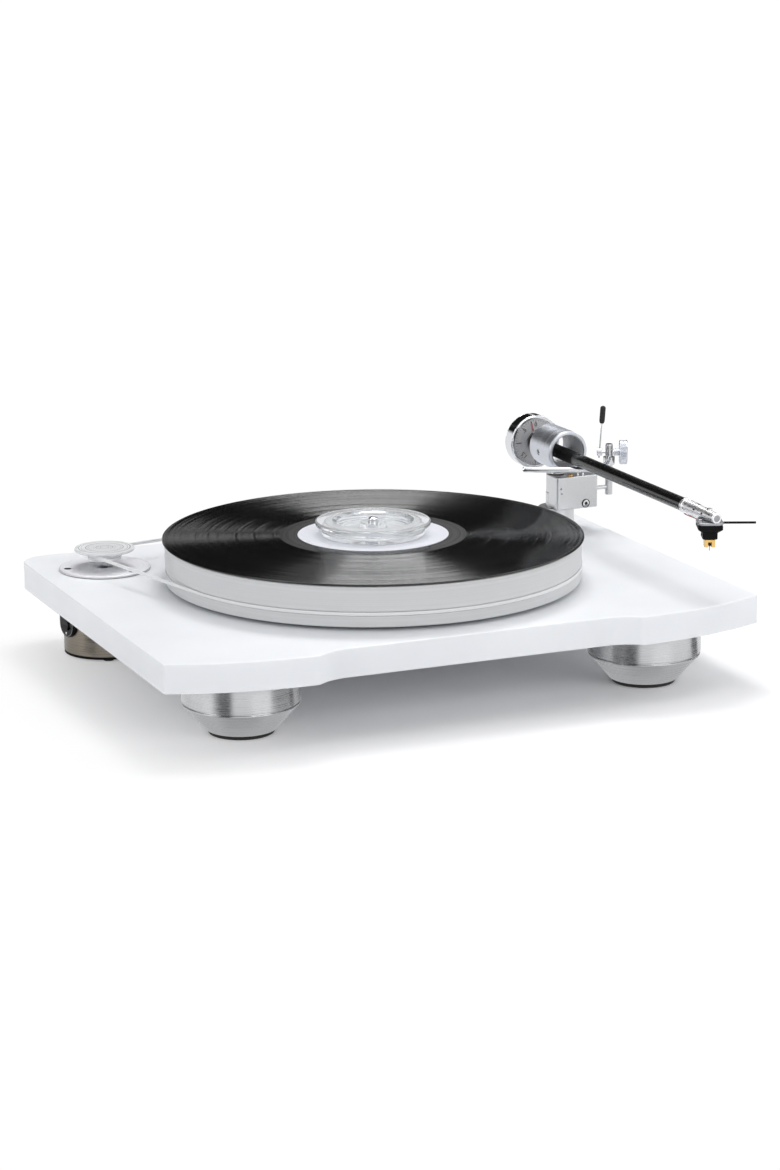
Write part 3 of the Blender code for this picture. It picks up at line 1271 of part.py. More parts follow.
def build_lever(shaft):
    """Lever, grip and knob on one shaft through the post. The shaft's own frame has +Z along it."""
    boss_low = -LIFT_BOSS_LEFT - LIFT_BOSS_LENGTH / 2
    boss_high = boss_low + LIFT_BOSS_LENGTH
    knob_low = KNOB_RIGHT - KNOB_THICKNESS / 2
    profile = [
        (0, boss_low),
        (LIFT_BOSS_RADIUS, boss_low),
        (LIFT_BOSS_RADIUS, boss_high),
        (LIFT_SHAFT_RADIUS, boss_high),
        (LIFT_SHAFT_RADIUS, knob_low + KNOB_THICKNESS / 2),
        (0, knob_low + KNOB_THICKNESS / 2),
    ]
    lever = solid("lift_lever", turned(profile, SIDES_SMALL), "polished_steel", shaft)
    rod_turn = (0, -90 + LEVER_LEAN, 0)
    rod_place = (0, 0, -LIFT_BOSS_LEFT)
    stem = rod(LEVER_ROD_RADIUS, -LEVER_ROD_TAIL, GRIP_START + GRIP_LENGTH * 0.7, 8)
    stem = helper("join_stem", stem, shaft, rod_place, rod_turn)
    combine(lever, "UNION", [stem])
    bore = LEVER_ROD_RADIUS + SEAT_GAP
    grip_top = GRIP_START + GRIP_LENGTH
    grip = [
        (bore, GRIP_START),
        (GRIP_RADIUS - EDGE_CHAMFER, GRIP_START),
        (GRIP_RADIUS, GRIP_START + EDGE_CHAMFER),
        (GRIP_RADIUS, grip_top - EDGE_CHAMFER),
        (GRIP_RADIUS - EDGE_CHAMFER, grip_top),
        (0, grip_top),
        (0, GRIP_START + GRIP_LENGTH * 0.7 + SEAT_GAP),
        (bore, GRIP_START + GRIP_LENGTH * 0.7 + SEAT_GAP),
    ]
    profile = [*grip[6:], *grip[:6]]
    solid("lift_grip", turned(profile, SIDES_TINY), "black_rubber", shaft, rod_place, rod_turn)
    neck_low = POST_RADIUS + 2 * SEAT_GAP
    bore = LIFT_SHAFT_RADIUS + SEAT_GAP
    knob_high = knob_low + KNOB_THICKNESS
    bore_high = knob_low + KNOB_THICKNESS / 2 + SEAT_GAP
    knob = [
        (0, bore_high),
        (bore, bore_high),
        (bore, neck_low),
        (KNOB_NECK_RADIUS, neck_low),
        (KNOB_NECK_RADIUS, knob_low),
        (KNOB_RADIUS - EDGE_CHAMFER, knob_low),
        (KNOB_RADIUS, knob_low + EDGE_CHAMFER),
        (KNOB_RADIUS, knob_high - EDGE_CHAMFER),
        (KNOB_RADIUS - EDGE_CHAMFER, knob_high),
        (0, knob_high),
    ]
    solid("lift_knob", turned(knob, SIDES_SMALL), "satin_aluminium", shaft)


# Assembly


def stand_on_origin(root):
    """Moves the whole object so that the origin is at the middle of its floor area."""
    bpy.context.view_layer.update()
    graph = bpy.context.evaluated_depsgraph_get()
    corners = []
    for obj in bpy.data.objects:
        if obj.type != "MESH" or obj.hide_render:
            continue
        evaluated = obj.evaluated_get(graph)
        mesh = evaluated.to_mesh()
        corners += [evaluated.matrix_world @ vertex.co for vertex in mesh.vertices]
        evaluated.to_mesh_clear()
    for i in (0, 1):
        values = [corner[i] for corner in corners]
        root.location[i] -= (min(values) + max(values)) / 2


def main():
    clear_scene()
    root = empty("turntable", None)
    build_plinth(root)
    for label, place in FEET.items():
        build_foot(root, label, place)
    build_bearing(root)
    platter_axis = empty("platter_axis", root)
    build_platter(platter_axis)
    record_axis = empty("record_axis", platter_axis)
    build_record(record_axis)
    build_clamp(empty("clamp_axis", record_axis))
    build_belt(root)
    motor_axis = empty("motor_axis", root, MOTOR_PLACE)
    build_motor(root, motor_axis)
    build_pulley(empty("pulley_axis", motor_axis))
    build_pillar(root)
    base = empty("arm_base_axis", root, ARM_PLACE)
    build_arm_base(base)
    swing = empty("arm_swing_axis", base, (0, 0, ARM_AXIS))
    build_ring(swing)
    tilt = empty("arm_tilt_axis", swing, (0, 0, 0), (ARM_NOSE_DOWN, 0, 0))
    build_arm_tube(tilt)
    weight_slide = empty("weight_slide_axis", tilt, (0, WEIGHT_FRONT, 0))
    build_weight(weight_slide, empty("weight_turn_axis", weight_slide))
    build_head(tilt)
    build_lift_post(base)
    build_lift_bar(empty("lift_slide_axis", base, (0, 0, ARM_AXIS)))
    shaft_place = (POST_RIGHT, POST_BACK, ARM_AXIS - LIFT_SHAFT_DROP)
    build_lever(empty("lift_shaft_axis", base, shaft_place, (0, 90, LIFT_ANGLE)))
    stand_on_origin(root)


main()
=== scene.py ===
import json
from math import asin, atan2, cos, degrees, hypot, pi, radians, sin
from types import SimpleNamespace

import bmesh
import bpy
from mathutils import Matrix, Vector


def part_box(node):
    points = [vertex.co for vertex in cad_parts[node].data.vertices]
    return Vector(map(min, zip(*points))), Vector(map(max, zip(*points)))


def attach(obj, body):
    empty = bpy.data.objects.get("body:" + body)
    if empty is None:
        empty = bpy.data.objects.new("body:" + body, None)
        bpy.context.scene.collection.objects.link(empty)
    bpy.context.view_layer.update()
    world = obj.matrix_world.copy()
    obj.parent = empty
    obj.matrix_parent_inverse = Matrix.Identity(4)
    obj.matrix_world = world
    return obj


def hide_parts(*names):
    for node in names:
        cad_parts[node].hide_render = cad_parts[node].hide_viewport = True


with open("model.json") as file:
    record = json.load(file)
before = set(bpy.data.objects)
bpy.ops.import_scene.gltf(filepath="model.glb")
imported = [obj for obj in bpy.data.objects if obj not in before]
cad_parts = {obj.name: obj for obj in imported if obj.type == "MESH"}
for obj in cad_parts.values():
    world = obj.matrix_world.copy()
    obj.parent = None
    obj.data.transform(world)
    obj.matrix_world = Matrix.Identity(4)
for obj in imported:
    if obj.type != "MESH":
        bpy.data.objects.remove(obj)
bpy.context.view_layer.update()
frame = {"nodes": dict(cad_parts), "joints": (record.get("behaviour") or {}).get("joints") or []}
mm = 0.001
axisPlace = {joint["name"]: Vector(joint["pos_m"]) / mm for joint in frame["joints"] if "pos_m" in joint}
print("turntable: frame loaded")


# colours, nodes and meshes that every piece uses


def linear(hexColour):
    # an sRGB hex value as the linear colour that Cycles works in
    values = [int(hexColour[i:i + 2], 16) / 255 for i in (1, 3, 5)]
    return (*[v / 12.92 if v <= 0.04045 else ((v + 0.055) / 1.055) ** 2.4 for v in values], 1.0)


def addNode(tree, kind, inputs=None, out=0, **settings):
    # one node with its settings, its values and what is linked into it, given as one of its outputs
    made = tree.nodes.new("ShaderNode" + kind)
    for name, value in settings.items():
        setattr(made, name, value)
    for socket, value in (inputs or {}).items():
        if isinstance(value, bpy.types.NodeSocket):
            tree.links.new(value, made.inputs[socket])
        else:
            made.inputs[socket].default_value = value
    return made.outputs[out]


def startMaterial(name, colour, roughness, sockets):
    made = bpy.data.materials.new(name)
    made.use_nodes = True
    for socket, value in {"Base Color": linear(colour), "Roughness": roughness, **sockets}.items():
        made.node_tree.nodes["Principled BSDF"].inputs[socket].default_value = value
    return made, made.node_tree


def feed(tree, socket, value):
    tree.links.new(value, tree.nodes["Principled BSDF"].inputs[socket])


def turnedMarks(tree, spacing, detail=2.0):
    # tool marks that run round the piece's own Z axis, on its ends and its sides; spacing in mm
    place = addNode(tree, "TexCoord", out="Object")
    parts = addNode(tree, "SeparateXYZ", {0: place}).node.outputs
    flat = addNode(tree, "CombineXYZ", {0: parts[0], 1: parts[1]})
    radius = addNode(tree, "VectorMath", {0: flat}, "Value", operation="LENGTH")
    across = addNode(tree, "CombineXYZ", {0: radius, 1: parts[2]})
    settings = {"Vector": across, "Scale": 1 / (spacing * mm), "Detail": detail}
    return addNode(tree, "TexNoise", settings, noise_dimensions="2D")


def grain(tree, size, detail=2.0, stretch=(1, 1, 1)):
    # an even grain of the given size in mm, drawn out by stretch
    place = addNode(tree, "TexCoord", out="Object")
    drawn = addNode(tree, "Mapping", {"Vector": place, "Scale": stretch})
    return addNode(tree, "TexNoise", {"Vector": drawn, "Scale": 1 / (size * mm), "Detail": detail})


def vary(tree, pattern, socket, low, high):
    # the pattern's middle range drives one socket between two values or two hex colours
    tinted = isinstance(low, str)
    least, most = (0.0, 1.0) if tinted else (low, high)
    value = addNode(tree, "MapRange", {0: pattern, 1: 0.3, 2: 0.7, 3: least, 4: most})
    if tinted:
        value = addNode(tree, "Mix", {0: value, 6: linear(low), 7: linear(high)}, 2, data_type="RGBA")
    feed(tree, socket, value)


def finish(name, colour, roughness, sockets, pattern, rough=None, tint=None, relief=None):
    # a material whose pattern varies its roughness or its colour; relief is the depth in mm and the strength
    made, tree = startMaterial(name, colour, roughness, sockets)
    kind, *settings = pattern
    drawn = kind(tree, *settings)
    if rough:
        vary(tree, drawn, "Roughness", *rough)
    if tint:
        vary(tree, drawn, "Base Color", *tint)
    if relief:
        depth, strength = relief
        feed(tree, "Normal", addNode(tree, "Bump", {"Height": drawn, "Distance": depth * mm, "Strength": strength}))
    if sockets.get("Anisotropic"):
        # the tangent runs round the axis, so the surface streaks across its tool marks
        feed(tree, "Tangent", addNode(tree, "Tangent", direction_type="RADIAL", axis="Z"))
    return made


def rounded(corners, steps, loop):
    # (radius, height, fillet) corners with each fillet drawn as a short curve
    points = []
    count = len(corners)
    for i, corner in enumerate(corners):
        here = Vector(corner[:2])
        fillet = corner[2] if len(corner) > 2 else 0
        if not fillet or (not loop and i in (0, count - 1)):
            points.append(tuple(here))
            continue
        before = Vector(corners[i - 1][:2]) - here
        after = Vector(corners[(i + 1) % count][:2]) - here
        reach = min(fillet, before.length * 0.49, after.length * 0.49)
        start = here + before.normalized() * reach
        end = here + after.normalized() * reach
        for t in [k / steps for k in range(steps + 1)]:
            points.append(tuple(start * (1 - t) ** 2 + here * (2 * t * (1 - t)) + end * t**2))
    return points


def ring(radius, sides):
    return [(radius * cos(2 * pi * i / sides), radius * sin(2 * pi * i / sides)) for i in range(sides)]


def paired(rings, loop):
    # each ring with the next, and the last with the first if they loop
    return zip(rings, rings[1:] + (rings[:1] if loop else []))


def lathe(profile, sides=64, loop=False):
    # a profile of (radius, height) turned round Z; loop joins its end to its start
    shape = bmesh.new()
    rings = []
    for radius, height in profile:
        points = [(0, 0)] if radius < 1e-5 else ring(radius, sides)
        rings.append([shape.verts.new((x, y, height)) for x, y in points])
    for lower, upper in paired(rings, loop):
        for i in range(sides):
            j = (i + 1) % sides
            corners = [lower[i % len(lower)], lower[j % len(lower)], upper[j % len(upper)], upper[i % len(upper)]]
            face = [v for k, v in enumerate(corners) if v not in corners[:k]]
            if len(face) > 2:
                shape.faces.new(face)
    return shape


def turned(corners, sides, steps=3):
    # rounded corners turned round Z: a solid if they start on the axis, otherwise a closed ring
    loop = corners[0][0] > 0
    return lathe(rounded(corners, steps, loop), sides, loop)


def rod(radius, low, high, sides, fillets=(0, 0), steps=3):
    return turned([(0, low), (radius, low, fillets[0]), (radius, high, fillets[1]), (0, high)], sides, steps)


def band(inner, outer, low, high, sides, fillets, steps=3):
    # the fillets go from the low inner corner round to the high inner one
    corners = ((inner, low), (outer, low), (outer, high), (inner, high))
    return turned([(*corner, fillet) for corner, fillet in zip(corners, fillets)], sides, steps)


def slotCut(halfLong, halfWide, low, high):
    # the room of a screwdriver's blade
    return plate(roundedBox(-halfLong, halfLong, -halfWide, halfWide, 0.05, 1), low, high)


def hexSocket(radius, low, high):
    return plate(ring(radius, 6), low, high)


def hole(radius, low, high, x=0, y=0, sides=64):
    return moved(rod(radius, low, high, sides), shift(x, y))


def arc(centre, radius, start, end, steps):
    turns = [radians(start + (end - start) * i / steps) for i in range(steps + 1)]
    return [(centre[0] + radius * cos(a), centre[1] + radius * sin(a)) for a in turns]


def roundedBox(left, right, front, back, radius, steps=6):
    # an outline with round corners, anticlockwise
    points = []
    for x, y, start in ((right - radius, back - radius, 0), (left + radius, back - radius, 90),
                        (left + radius, front + radius, 180), (right - radius, front + radius, 270)):
        points += arc((x, y), radius, start, start + 90, steps)
    return points


def inset(outline, distance):
    points = []
    count = len(outline)
    for i, here in enumerate(outline):
        before = (Vector(here) - Vector(outline[i - 1])).normalized()
        after = (Vector(outline[(i + 1) % count]) - Vector(here)).normalized()
        normals = [Vector((-side.y, side.x)) for side in (before, after)]
        middle = (normals[0] + normals[1]).normalized()
        points.append(tuple(Vector(here) + middle * (distance / max(middle.dot(normals[0]), 0.4))))
    return points


def skin(rings, loop=False):
    # joins rings of (x, y, z) points, each with the same count; loop joins the last to the first
    shape = bmesh.new()
    loops = [[shape.verts.new(point) for point in points] for points in rings]
    for lower, upper in paired(loops, loop):
        for i in range(len(lower)):
            j = (i + 1) % len(lower)
            shape.faces.new((lower[i], lower[j], upper[j], upper[i]))
    for end in [] if loop else [loops[0][::-1], loops[-1]]:
        shape.faces.new(end)
    return shape


def plate(outline, low, high, edge=0.0, steps=3, lowEdge=None):
    # an outline drawn up from low to high, with rounded rims
    lowEdge = edge if lowEdge is None else lowEdge
    levels = []
    for depth, height, sign in ((lowEdge, low, 1), (edge, high, -1)):
        turns = [k / steps * pi / 2 for k in range(steps + 1)] if depth else [pi / 2]
        part = [(depth * (1 - sin(a)), height + sign * depth * (1 - cos(a))) for a in turns]
        levels += part[::sign]
    return skin([[(x, y, z) for x, y in (inset(outline, d) if d > 1e-6 else outline)] for d, z in levels])


def sweep(path, section, loop=False, scales=None):
    # a section of (side, up) points carried along a path
    points = [Vector(p) for p in path]
    count = len(points)
    side = None
    rings = []
    for i, point in enumerate(points):
        before = points[i - 1] if loop or i else point
        after = points[(i + 1) % count] if loop or i < count - 1 else point
        ahead = (after - before).normalized()
        if side is None:
            side = ahead.cross(Vector((0, 0, 1)))
            if side.length < 0.05:
                side = ahead.cross(Vector((1, 0, 0)))
        side = (side - ahead * side.dot(ahead)).normalized()
        rise = side.cross(ahead)
        size = scales[i] if scales else 1
        rings.append([point + side * (a * size) + rise * (b * size) for a, b in section])
    return skin(rings, loop)


def smoothPath(points, perSpan=8):
    # a curve through the points
    ends = [Vector(p) for p in (points[0], *points, points[-1])]
    path = []
    for a, b, c, d in zip(ends, ends[1:], ends[2:], ends[3:]):
        for t in [i / perSpan for i in range(perSpan)]:
            bend = (2 * a - 5 * b + 4 * c - d) * t**2 + (3 * b - a - 3 * c + d) * t**3
            path.append(0.5 * (2 * b + (c - a) * t + bend))
    return [*path, ends[-1]]


def joined(*shapes):
    # several closed shapes as one piece's mesh
    whole = bmesh.new()
    for shape in shapes:
        bmesh.ops.recalc_face_normals(shape, faces=shape.faces)
        mesh = bpy.data.meshes.new("part")
        shape.to_mesh(mesh)
        shape.free()
        whole.from_mesh(mesh)
        bpy.data.meshes.remove(mesh)
    return whole


def moved(shape, at):
    shape.transform(at)
    return shape


def shift(x=0, y=0, z=0):
    return Matrix.Translation((x, y, z))


def turn(angle, axis):
    return Matrix.Rotation(radians(angle), 4, axis)


def newObject(name, shape):
    # the shape is in mm, the object in metres
    shape.transform(Matrix.Scale(mm, 4))
    bmesh.ops.recalc_face_normals(shape, faces=shape.faces)
    mesh = bpy.data.meshes.new(name)
    shape.to_mesh(mesh)
    shape.free()
    made = bpy.data.objects.new(name, mesh)
    bpy.context.scene.collection.objects.link(made)
    return made


def cutAway(piece, cutters):
    # takes the cutters out of the piece and clears them away
    tools = [newObject("cutter", shape) for shape in cutters]
    for tool in tools:
        modifier = piece.modifiers.new("cut", "BOOLEAN")
        modifier.object = tool
        modifier.operation = "DIFFERENCE"
        modifier.solver = "EXACT"
    graph = bpy.context.evaluated_depsgraph_get()
    mesh = bpy.data.meshes.new_from_object(piece.evaluated_get(graph))
    piece.modifiers.clear()
    piece.data = mesh
    for tool in tools:
        bpy.data.meshes.remove(tool.data)


def makePiece(name, shape, material, body, replaced="", at=shift(), cutters=(), sharp=32, even=True):
    # the shape is in mm about its own axis, and at puts it in the frame
    piece = newObject(name, shape)
    if cutters:
        cutAway(piece, cutters)
    piece.data.name = name
    piece.data.shade_smooth()
    piece.data.set_sharp_from_angle(angle=radians(sharp))
    piece.data.materials.append(material)
    place = at.copy()
    place.translation *= mm
    piece.matrix_world = place
    if even:
        piece.modifiers.new("evenShading", "WEIGHTED_NORMAL").keep_sharp = True
    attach(piece, body)
    if replaced:
        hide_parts(replaced)
    return piece


def secondMaterial(piece, material, chosen):
    # the faces that the test picks take a material of their own
    piece.data.materials.append(material)
    for face in piece.data.polygons:
        face.material_index = int(chosen(face))


def dressNode(node, material):
    for place in frame["nodes"][node].material_slots:
        place.material = material


# where the axes are, in mm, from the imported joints
spindle, motor, armPivot, liftShaft = [
    axisPlace[name] for name in ("platter_spin", "pulley_spin", "arm_tilt", "lift_lever_turn")]
atSpindle, atMotor, atArm = [shift(place.x, place.y) for place in (spindle, motor, armPivot)]
noseDown = 0.45  # degrees that the arm dips at rest
tiltFrame = shift(*armPivot) @ turn(noseDown, "X")
armAlong = tiltFrame @ turn(90, "X")


# camera, floor and light

camera = {
    "place": (-850.4, -1966.9, 590.3),  # mm
    "yaw": 23.24911,  # degrees to the left of the front
    "pitch": 13.98788,
    "roll": -0.374888,
    "lens": 94.566,
    "sensor": 36.0,
    "farthest": 60,  # m
}

studio = {
    "skyLevel": 0.37,  # plain light from all round
    "mirrorLevel": 1.0,  # the white studio that metal and glass show
    # cards round the set, seen only in reflections, each laid over the ones before it:
    # azimuth from +X, half width, soft edge, lowest and highest elevation, soft edge, tone
    "cards": (
        (67, 44, 6, -7, 54, 4, 0.012),
        (128, 22, 6, 11, 54, 3, 0.012),
        (66.4, 2.6, 1.3, 12, 16.5, 1.3, 0.7),
        (53, 1.3, 0.8, 8.2, 9.4, 0.6, 0.35),
        (84, 5, 1.5, 2, 13.5, 1.5, 0.8),
        (57.5, 4.5, 1, 15, 28.5, 1.5, 0.9),
        (219, 12, 6, -20, 45, 7, 0.05),
        (350, 8, 4, -20, 37, 7, 0.08),
    ),
    # cards on the floor round the feet and the motor: azimuth from its middle, half width, soft edge,
    # from and to this far out in mm, tone; the first card by each foot, close in, is painted shadow
    "floorCards": {
        "foot_front_left_turn": (
            (250, 24, 18, 40, 75, 0.33), (219, 13, 8, 80, 255, 0.03),
            (223, 7, 4, 80, 255, 0.01), (348, 7, 3, 85, 255, 0.03),
        ),
        "foot_front_right_turn": (
            (246, 22, 18, 40, 75, 0.33), (213, 17, 10, 85, 255, 0.06),
            (219, 8, 5, 85, 255, 0.01), (352, 11, 4, 85, 255, 0.03),
        ),
        "pulley_spin": ((213, 9, 8, 50, 200, 0.03),),
    },
    "floorSoft": 12,  # mm that the ends of those cards fade over, each way
    "nearShade": (40, 150, 0.62),  # painted shadow round each one on the floor that metal shows: how far out it darkens the floor, and how much
    "floorGlow": 0.02,
    "floorWhite": 1.02,  # just over plain white, so the paper leaves no tone of its own
    "floorColour": "#F6F6F7",
    "shadowMiddle": (70, -60),  # mm, where the shadow is deepest
    "shadowReach": (170, 520),  # how far from there the floor fades to plain white
    "mirrorReach": (80, 170),  # the same for what metal and glass show, from the middle of the set
    "floorSize": 24000,
}

lamps = {
    # place and target in mm, size in m, watts
    "overheadBox": ((50, 50, 1500), (0, 0, 60), (1.6, 1.1), 5.2),
    "backBox": ((365, 650, 1420), (0, 0, 60), (0.62, 0.45), 9.5),
    "leftBox": ((-1500, -300, 800), (0, 0, 60), (0.8, 1.1), 6.0),
    "frontBox": ((400, -1650, 850), (0, 0, 60), (1.2, 0.8), 8.1),
    "rightBox": ((1300, 100, 1000), (0, 0, 90), (0.6, 1.1), 5.5),
}


def setUp(name, data, place, aim):
    # puts a camera or a lamp in the scene; its place is in mm
    made = bpy.data.objects.new(name, data)
    bpy.context.scene.collection.objects.link(made)
    made.matrix_world = shift(*[value * mm for value in place]) @ aim
    return made


def cardCover(tree, level, azimuth, halfWidth, soft):
    # how far a level direction falls on a card
    aimed = (cos(radians(azimuth)), sin(radians(azimuth)), 0)
    facing = addNode(tree, "VectorMath", {0: level, 1: aimed}, "Value", operation="DOT_PRODUCT")
    outer, inner = cos(radians(halfWidth + soft)), cos(radians(max(halfWidth - soft, 0)))
    return addNode(tree, "MapRange", {0: facing, 1: outer, 2: inner}, interpolation_type="SMOOTHSTEP")


def levelled(tree, direction):
    # a direction as its level part, one long, and its rise
    ahead = addNode(tree, "VectorMath", {0: direction}, operation="NORMALIZE")
    parts = addNode(tree, "SeparateXYZ", {0: ahead}).node.outputs
    flat = addNode(tree, "CombineXYZ", {0: parts[0], 1: parts[1]})
    return addNode(tree, "VectorMath", {0: flat}, operation="NORMALIZE"), parts[2]


def laidOver(tree, tone, cover, measure, limits, value):
    # a card's tone over what is behind it, where the measure is between the limits
    inside = addNode(tree, "MapRange", {0: measure, 1: limits[0], 2: limits[1]})
    outside = addNode(tree, "MapRange", {0: measure, 1: limits[2], 2: limits[3], 3: 1.0, 4: 0.0})
    for part in (inside, outside):
        cover = addNode(tree, "Math", {0: cover, 1: part}, operation="MULTIPLY")
    return addNode(tree, "Mix", {0: cover, 2: tone, 3: value})


def cardTone(tree, direction):
    # how bright the studio looks in a direction, with its cards
    level, rise = levelled(tree, direction)
    tone = 1.0
    for azimuth, halfWidth, soft, low, high, softRise, value in studio["cards"]:
        cover = cardCover(tree, level, azimuth, halfWidth, soft)
        limits = [sin(radians(e)) for e in (low - softRise, low + softRise, high - softRise, high + softRise)]
        tone = laidOver(tree, tone, cover, rise, limits, value)
    return tone


def distanceFrom(tree, place, centre):
    away = addNode(tree, "VectorMath", {0: place, 1: centre * mm}, operation="SUBTRACT")
    flat = addNode(tree, "VectorMath", {0: away, 1: (1, 1, 0)}, operation="MULTIPLY")
    return flat, addNode(tree, "VectorMath", {0: flat}, "Value", operation="LENGTH")


def floorTone(tree, place):
    # how bright the floor looks in metal, with the feet's cards and a painted shadow round each foot and the motor
    whole = 1.0
    near, far, shade = studio["nearShade"]
    soft = studio["floorSoft"]
    for name, cards in studio["floorCards"].items():
        flat, reach = distanceFrom(tree, place, axisPlace[name])
        level = levelled(tree, flat)[0]
        tone = addNode(tree, "MapRange", {0: reach, 1: near * mm, 2: far * mm, 3: shade, 4: 1.0})
        for azimuth, halfWidth, softSide, start, end, value in cards:
            cover = cardCover(tree, level, azimuth, halfWidth, softSide)
            limits = [out * mm for out in (start - soft, start + soft, end - soft, end + soft)]
            tone = laidOver(tree, tone, cover, reach, limits, value)
        whole = addNode(tree, "Math", {0: whole, 1: tone}, operation="MULTIPLY")
    return whole


def seenStraight(tree):
    # camera rays and what clear acrylic lets through, and beside them the rays that metal reflects
    path = addNode(tree, "LightPath").node.outputs
    sight = {0: path["Is Camera Ray"], 1: path["Is Transmission Ray"]}
    return addNode(tree, "Math", sight, operation="MAXIMUM"), path["Is Glossy Ray"]


def paperSweep():
    # seamless white paper: it keeps the shadow near the object and is plain white further out
    made, tree = startMaterial("seamlessPaper", studio["floorColour"], 0.9, {"Specular IOR Level": 0.0})
    paper = tree.nodes["Principled BSDF"].outputs[0]
    place = addNode(tree, "TexCoord", out="Object")
    fades = []
    for centre, (near, far) in ((studio["shadowMiddle"], studio["shadowReach"]), ((0, 0), studio["mirrorReach"])):
        reach = distanceFrom(tree, place, Vector((*centre, 0)))[1]
        limits = {0: reach, 1: near * mm, 2: far * mm}
        fades.append(addNode(tree, "MapRange", limits, interpolation_type="SMOOTHSTEP"))
    glow, white, mirrorWhite = [
        addNode(tree, "Emission", {"Color": linear("#FFFFFF"), "Strength": strength})
        for strength in (studio["floorGlow"], studio["floorWhite"], floorTone(tree, place))]
    lit = addNode(tree, "AddShader", {0: paper, 1: glow})
    cameraSide = addNode(tree, "MixShader", {0: fades[0], 1: lit, 2: white})
    mirrorSide = addNode(tree, "MixShader", {0: fades[1], 1: paper, 2: mirrorWhite})
    straight, glossy = seenStraight(tree)
    otherwise = addNode(tree, "MixShader", {0: glossy, 1: paper, 2: mirrorSide})
    final = addNode(tree, "MixShader", {0: straight, 1: otherwise, 2: cameraSide})
    tree.links.new(final, tree.nodes["Material Output"].inputs["Surface"])
    return made


cameraData = bpy.data.cameras.new("studioCamera")
cameraData.lens = camera["lens"]
cameraData.sensor_width = camera["sensor"]
cameraData.clip_end = camera["farthest"]
aim = turn(-camera["yaw"], "Z") @ turn(90 - camera["pitch"], "X") @ turn(camera["roll"], "Z")
bpy.context.scene.camera = setUp("studioCamera", cameraData, camera["place"], aim)
bpy.context.scene.view_settings.view_transform = "Standard"

world = bpy.data.worlds.new("whiteStudio")
bpy.context.scene.world = world
world.use_nodes = True
sky = world.node_tree
skyTone = cardTone(sky, addNode(sky, "TexCoord", out="Generated"))
mirrored = addNode(sky, "Math", {0: skyTone, 1: studio["mirrorLevel"]}, operation="MULTIPLY")
straight, glossy = seenStraight(sky)
plain = addNode(sky, "Mix", {0: glossy, 2: studio["skyLevel"], 3: mirrored})
background = sky.nodes["Background"].inputs
sky.links.new(addNode(sky, "Mix", {0: straight, 2: plain, 3: 1.0}), background["Strength"])
background["Color"].default_value = linear("#FFFFFF")

floorShape = bmesh.new()
bmesh.ops.create_grid(floorShape, x_segments=1, y_segments=1, size=studio["floorSize"] / 2)
floor = newObject("studioFloor", floorShape)
floor.data.materials.append(paperSweep())

for name, (place, target, size, watts) in lamps.items():
    lampData = bpy.data.lights.new(name, "AREA")
    lampData.shape = "RECTANGLE"
    lampData.size, lampData.size_y = size
    lampData.energy = watts
    setUp(name, lampData, place, (Vector(target) - Vector(place)).to_track_quat("-Z", "Y").to_matrix().to_4x4())
print("turntable: studio ready")


# materials


def milky(ior, weight, radius, scale):
    # light goes a little way into the plastic; radius is how far red, green and blue go, scale in m
    return {"IOR": ior, "Subsurface Weight": weight, "Subsurface Radius": radius, "Subsurface Scale": scale}


def metal(spread=0.0):
    # spread draws a highlight out across tool marks, which lie a quarter turn from the tangent
    return {"Metallic": 1.0, "Anisotropic": spread, "Anisotropic Rotation": 0.25 if spread else 0.0}


def pressedVinyl():
    # pressed black PVC: its groove walls lean in and out, so each light shows as a wedge across the disc
    made, tree = startMaterial("pressedVinyl", "#050506", 0.18, {"IOR": 1.5})
    flat, radius = distanceFrom(tree, addNode(tree, "TexCoord", out="Object"), Vector((0, 0, 0)))
    outward = addNode(tree, "VectorMath", {0: flat}, operation="NORMALIZE")
    outward = addNode(
        tree, "VectorTransform", {0: outward}, vector_type="VECTOR", convert_from="OBJECT", convert_to="WORLD")
    # walls 0.3 mm apart, really 0.1 mm, drawn coarser
    phase = addNode(tree, "Math", {0: radius, 1: 2 * pi / (0.3 * mm)}, operation="MULTIPLY")
    wave = addNode(tree, "Math", {0: phase}, operation="SINE")
    wall = addNode(tree, "MapRange", {0: wave, 1: -0.06, 2: 0.06, 3: -1.0, 4: 1.0})
    passages = turnedMarks(tree, 2.2, 5.0)  # loud and quiet passages cut the walls steeper and flatter
    slope = addNode(tree, "MapRange", {0: passages, 1: 0.3, 2: 0.7, 3: 0.35, 4: 0.59})
    lean = addNode(tree, "Math", {0: wall, 1: slope}, operation="MULTIPLY")
    tilt = addNode(tree, "VectorMath", {0: outward, "Scale": lean}, operation="SCALE")
    plain = addNode(tree, "NewGeometry", out="Normal")
    leaning = addNode(tree, "VectorMath", {0: plain, 1: tilt}, operation="ADD")
    feed(tree, "Normal", addNode(tree, "VectorMath", {0: leaning}, operation="NORMALIZE"))
    vary(tree, passages, "Roughness", 0.14, 0.22)
    return made


def lacqueredCarbon():
    # carbon fibre tube under clear lacquer: near black, with a weave that only just shows
    sockets = {"IOR": 1.5, "Coat Weight": 0.4, "Coat Roughness": 0.12}
    made = finish(
        "lacqueredCarbonTube", "#0B0B0C", 0.26, sockets, (grain, 0.6, 2.0, (1, 1, 0.1)), (0.20, 0.34))
    tree = made.node_tree
    place = addNode(tree, "TexCoord", out="Object")
    slanted = addNode(tree, "Mapping", {"Vector": place, "Rotation": (0, 0, radians(45))})
    weave = addNode(tree, "TexChecker", {"Vector": slanted, "Scale": 1 / (2.0 * mm)}, "Fac")  # 2 mm tows
    vary(tree, weave, "Base Color", "#090909", "#0D0D0E")
    return made


def turnedAluminium(name, colour, roughness, spacing, spread=0.0):
    # aluminium turned on a lathe: streaks of light run across the fine tool marks
    marks = (turnedMarks, spacing, 3.0)
    soft, rough = roughness * 0.75, roughness * 1.3
    return finish(name, colour, roughness, metal(spread), marks, (soft, rough), None, (0.002, 0.3))


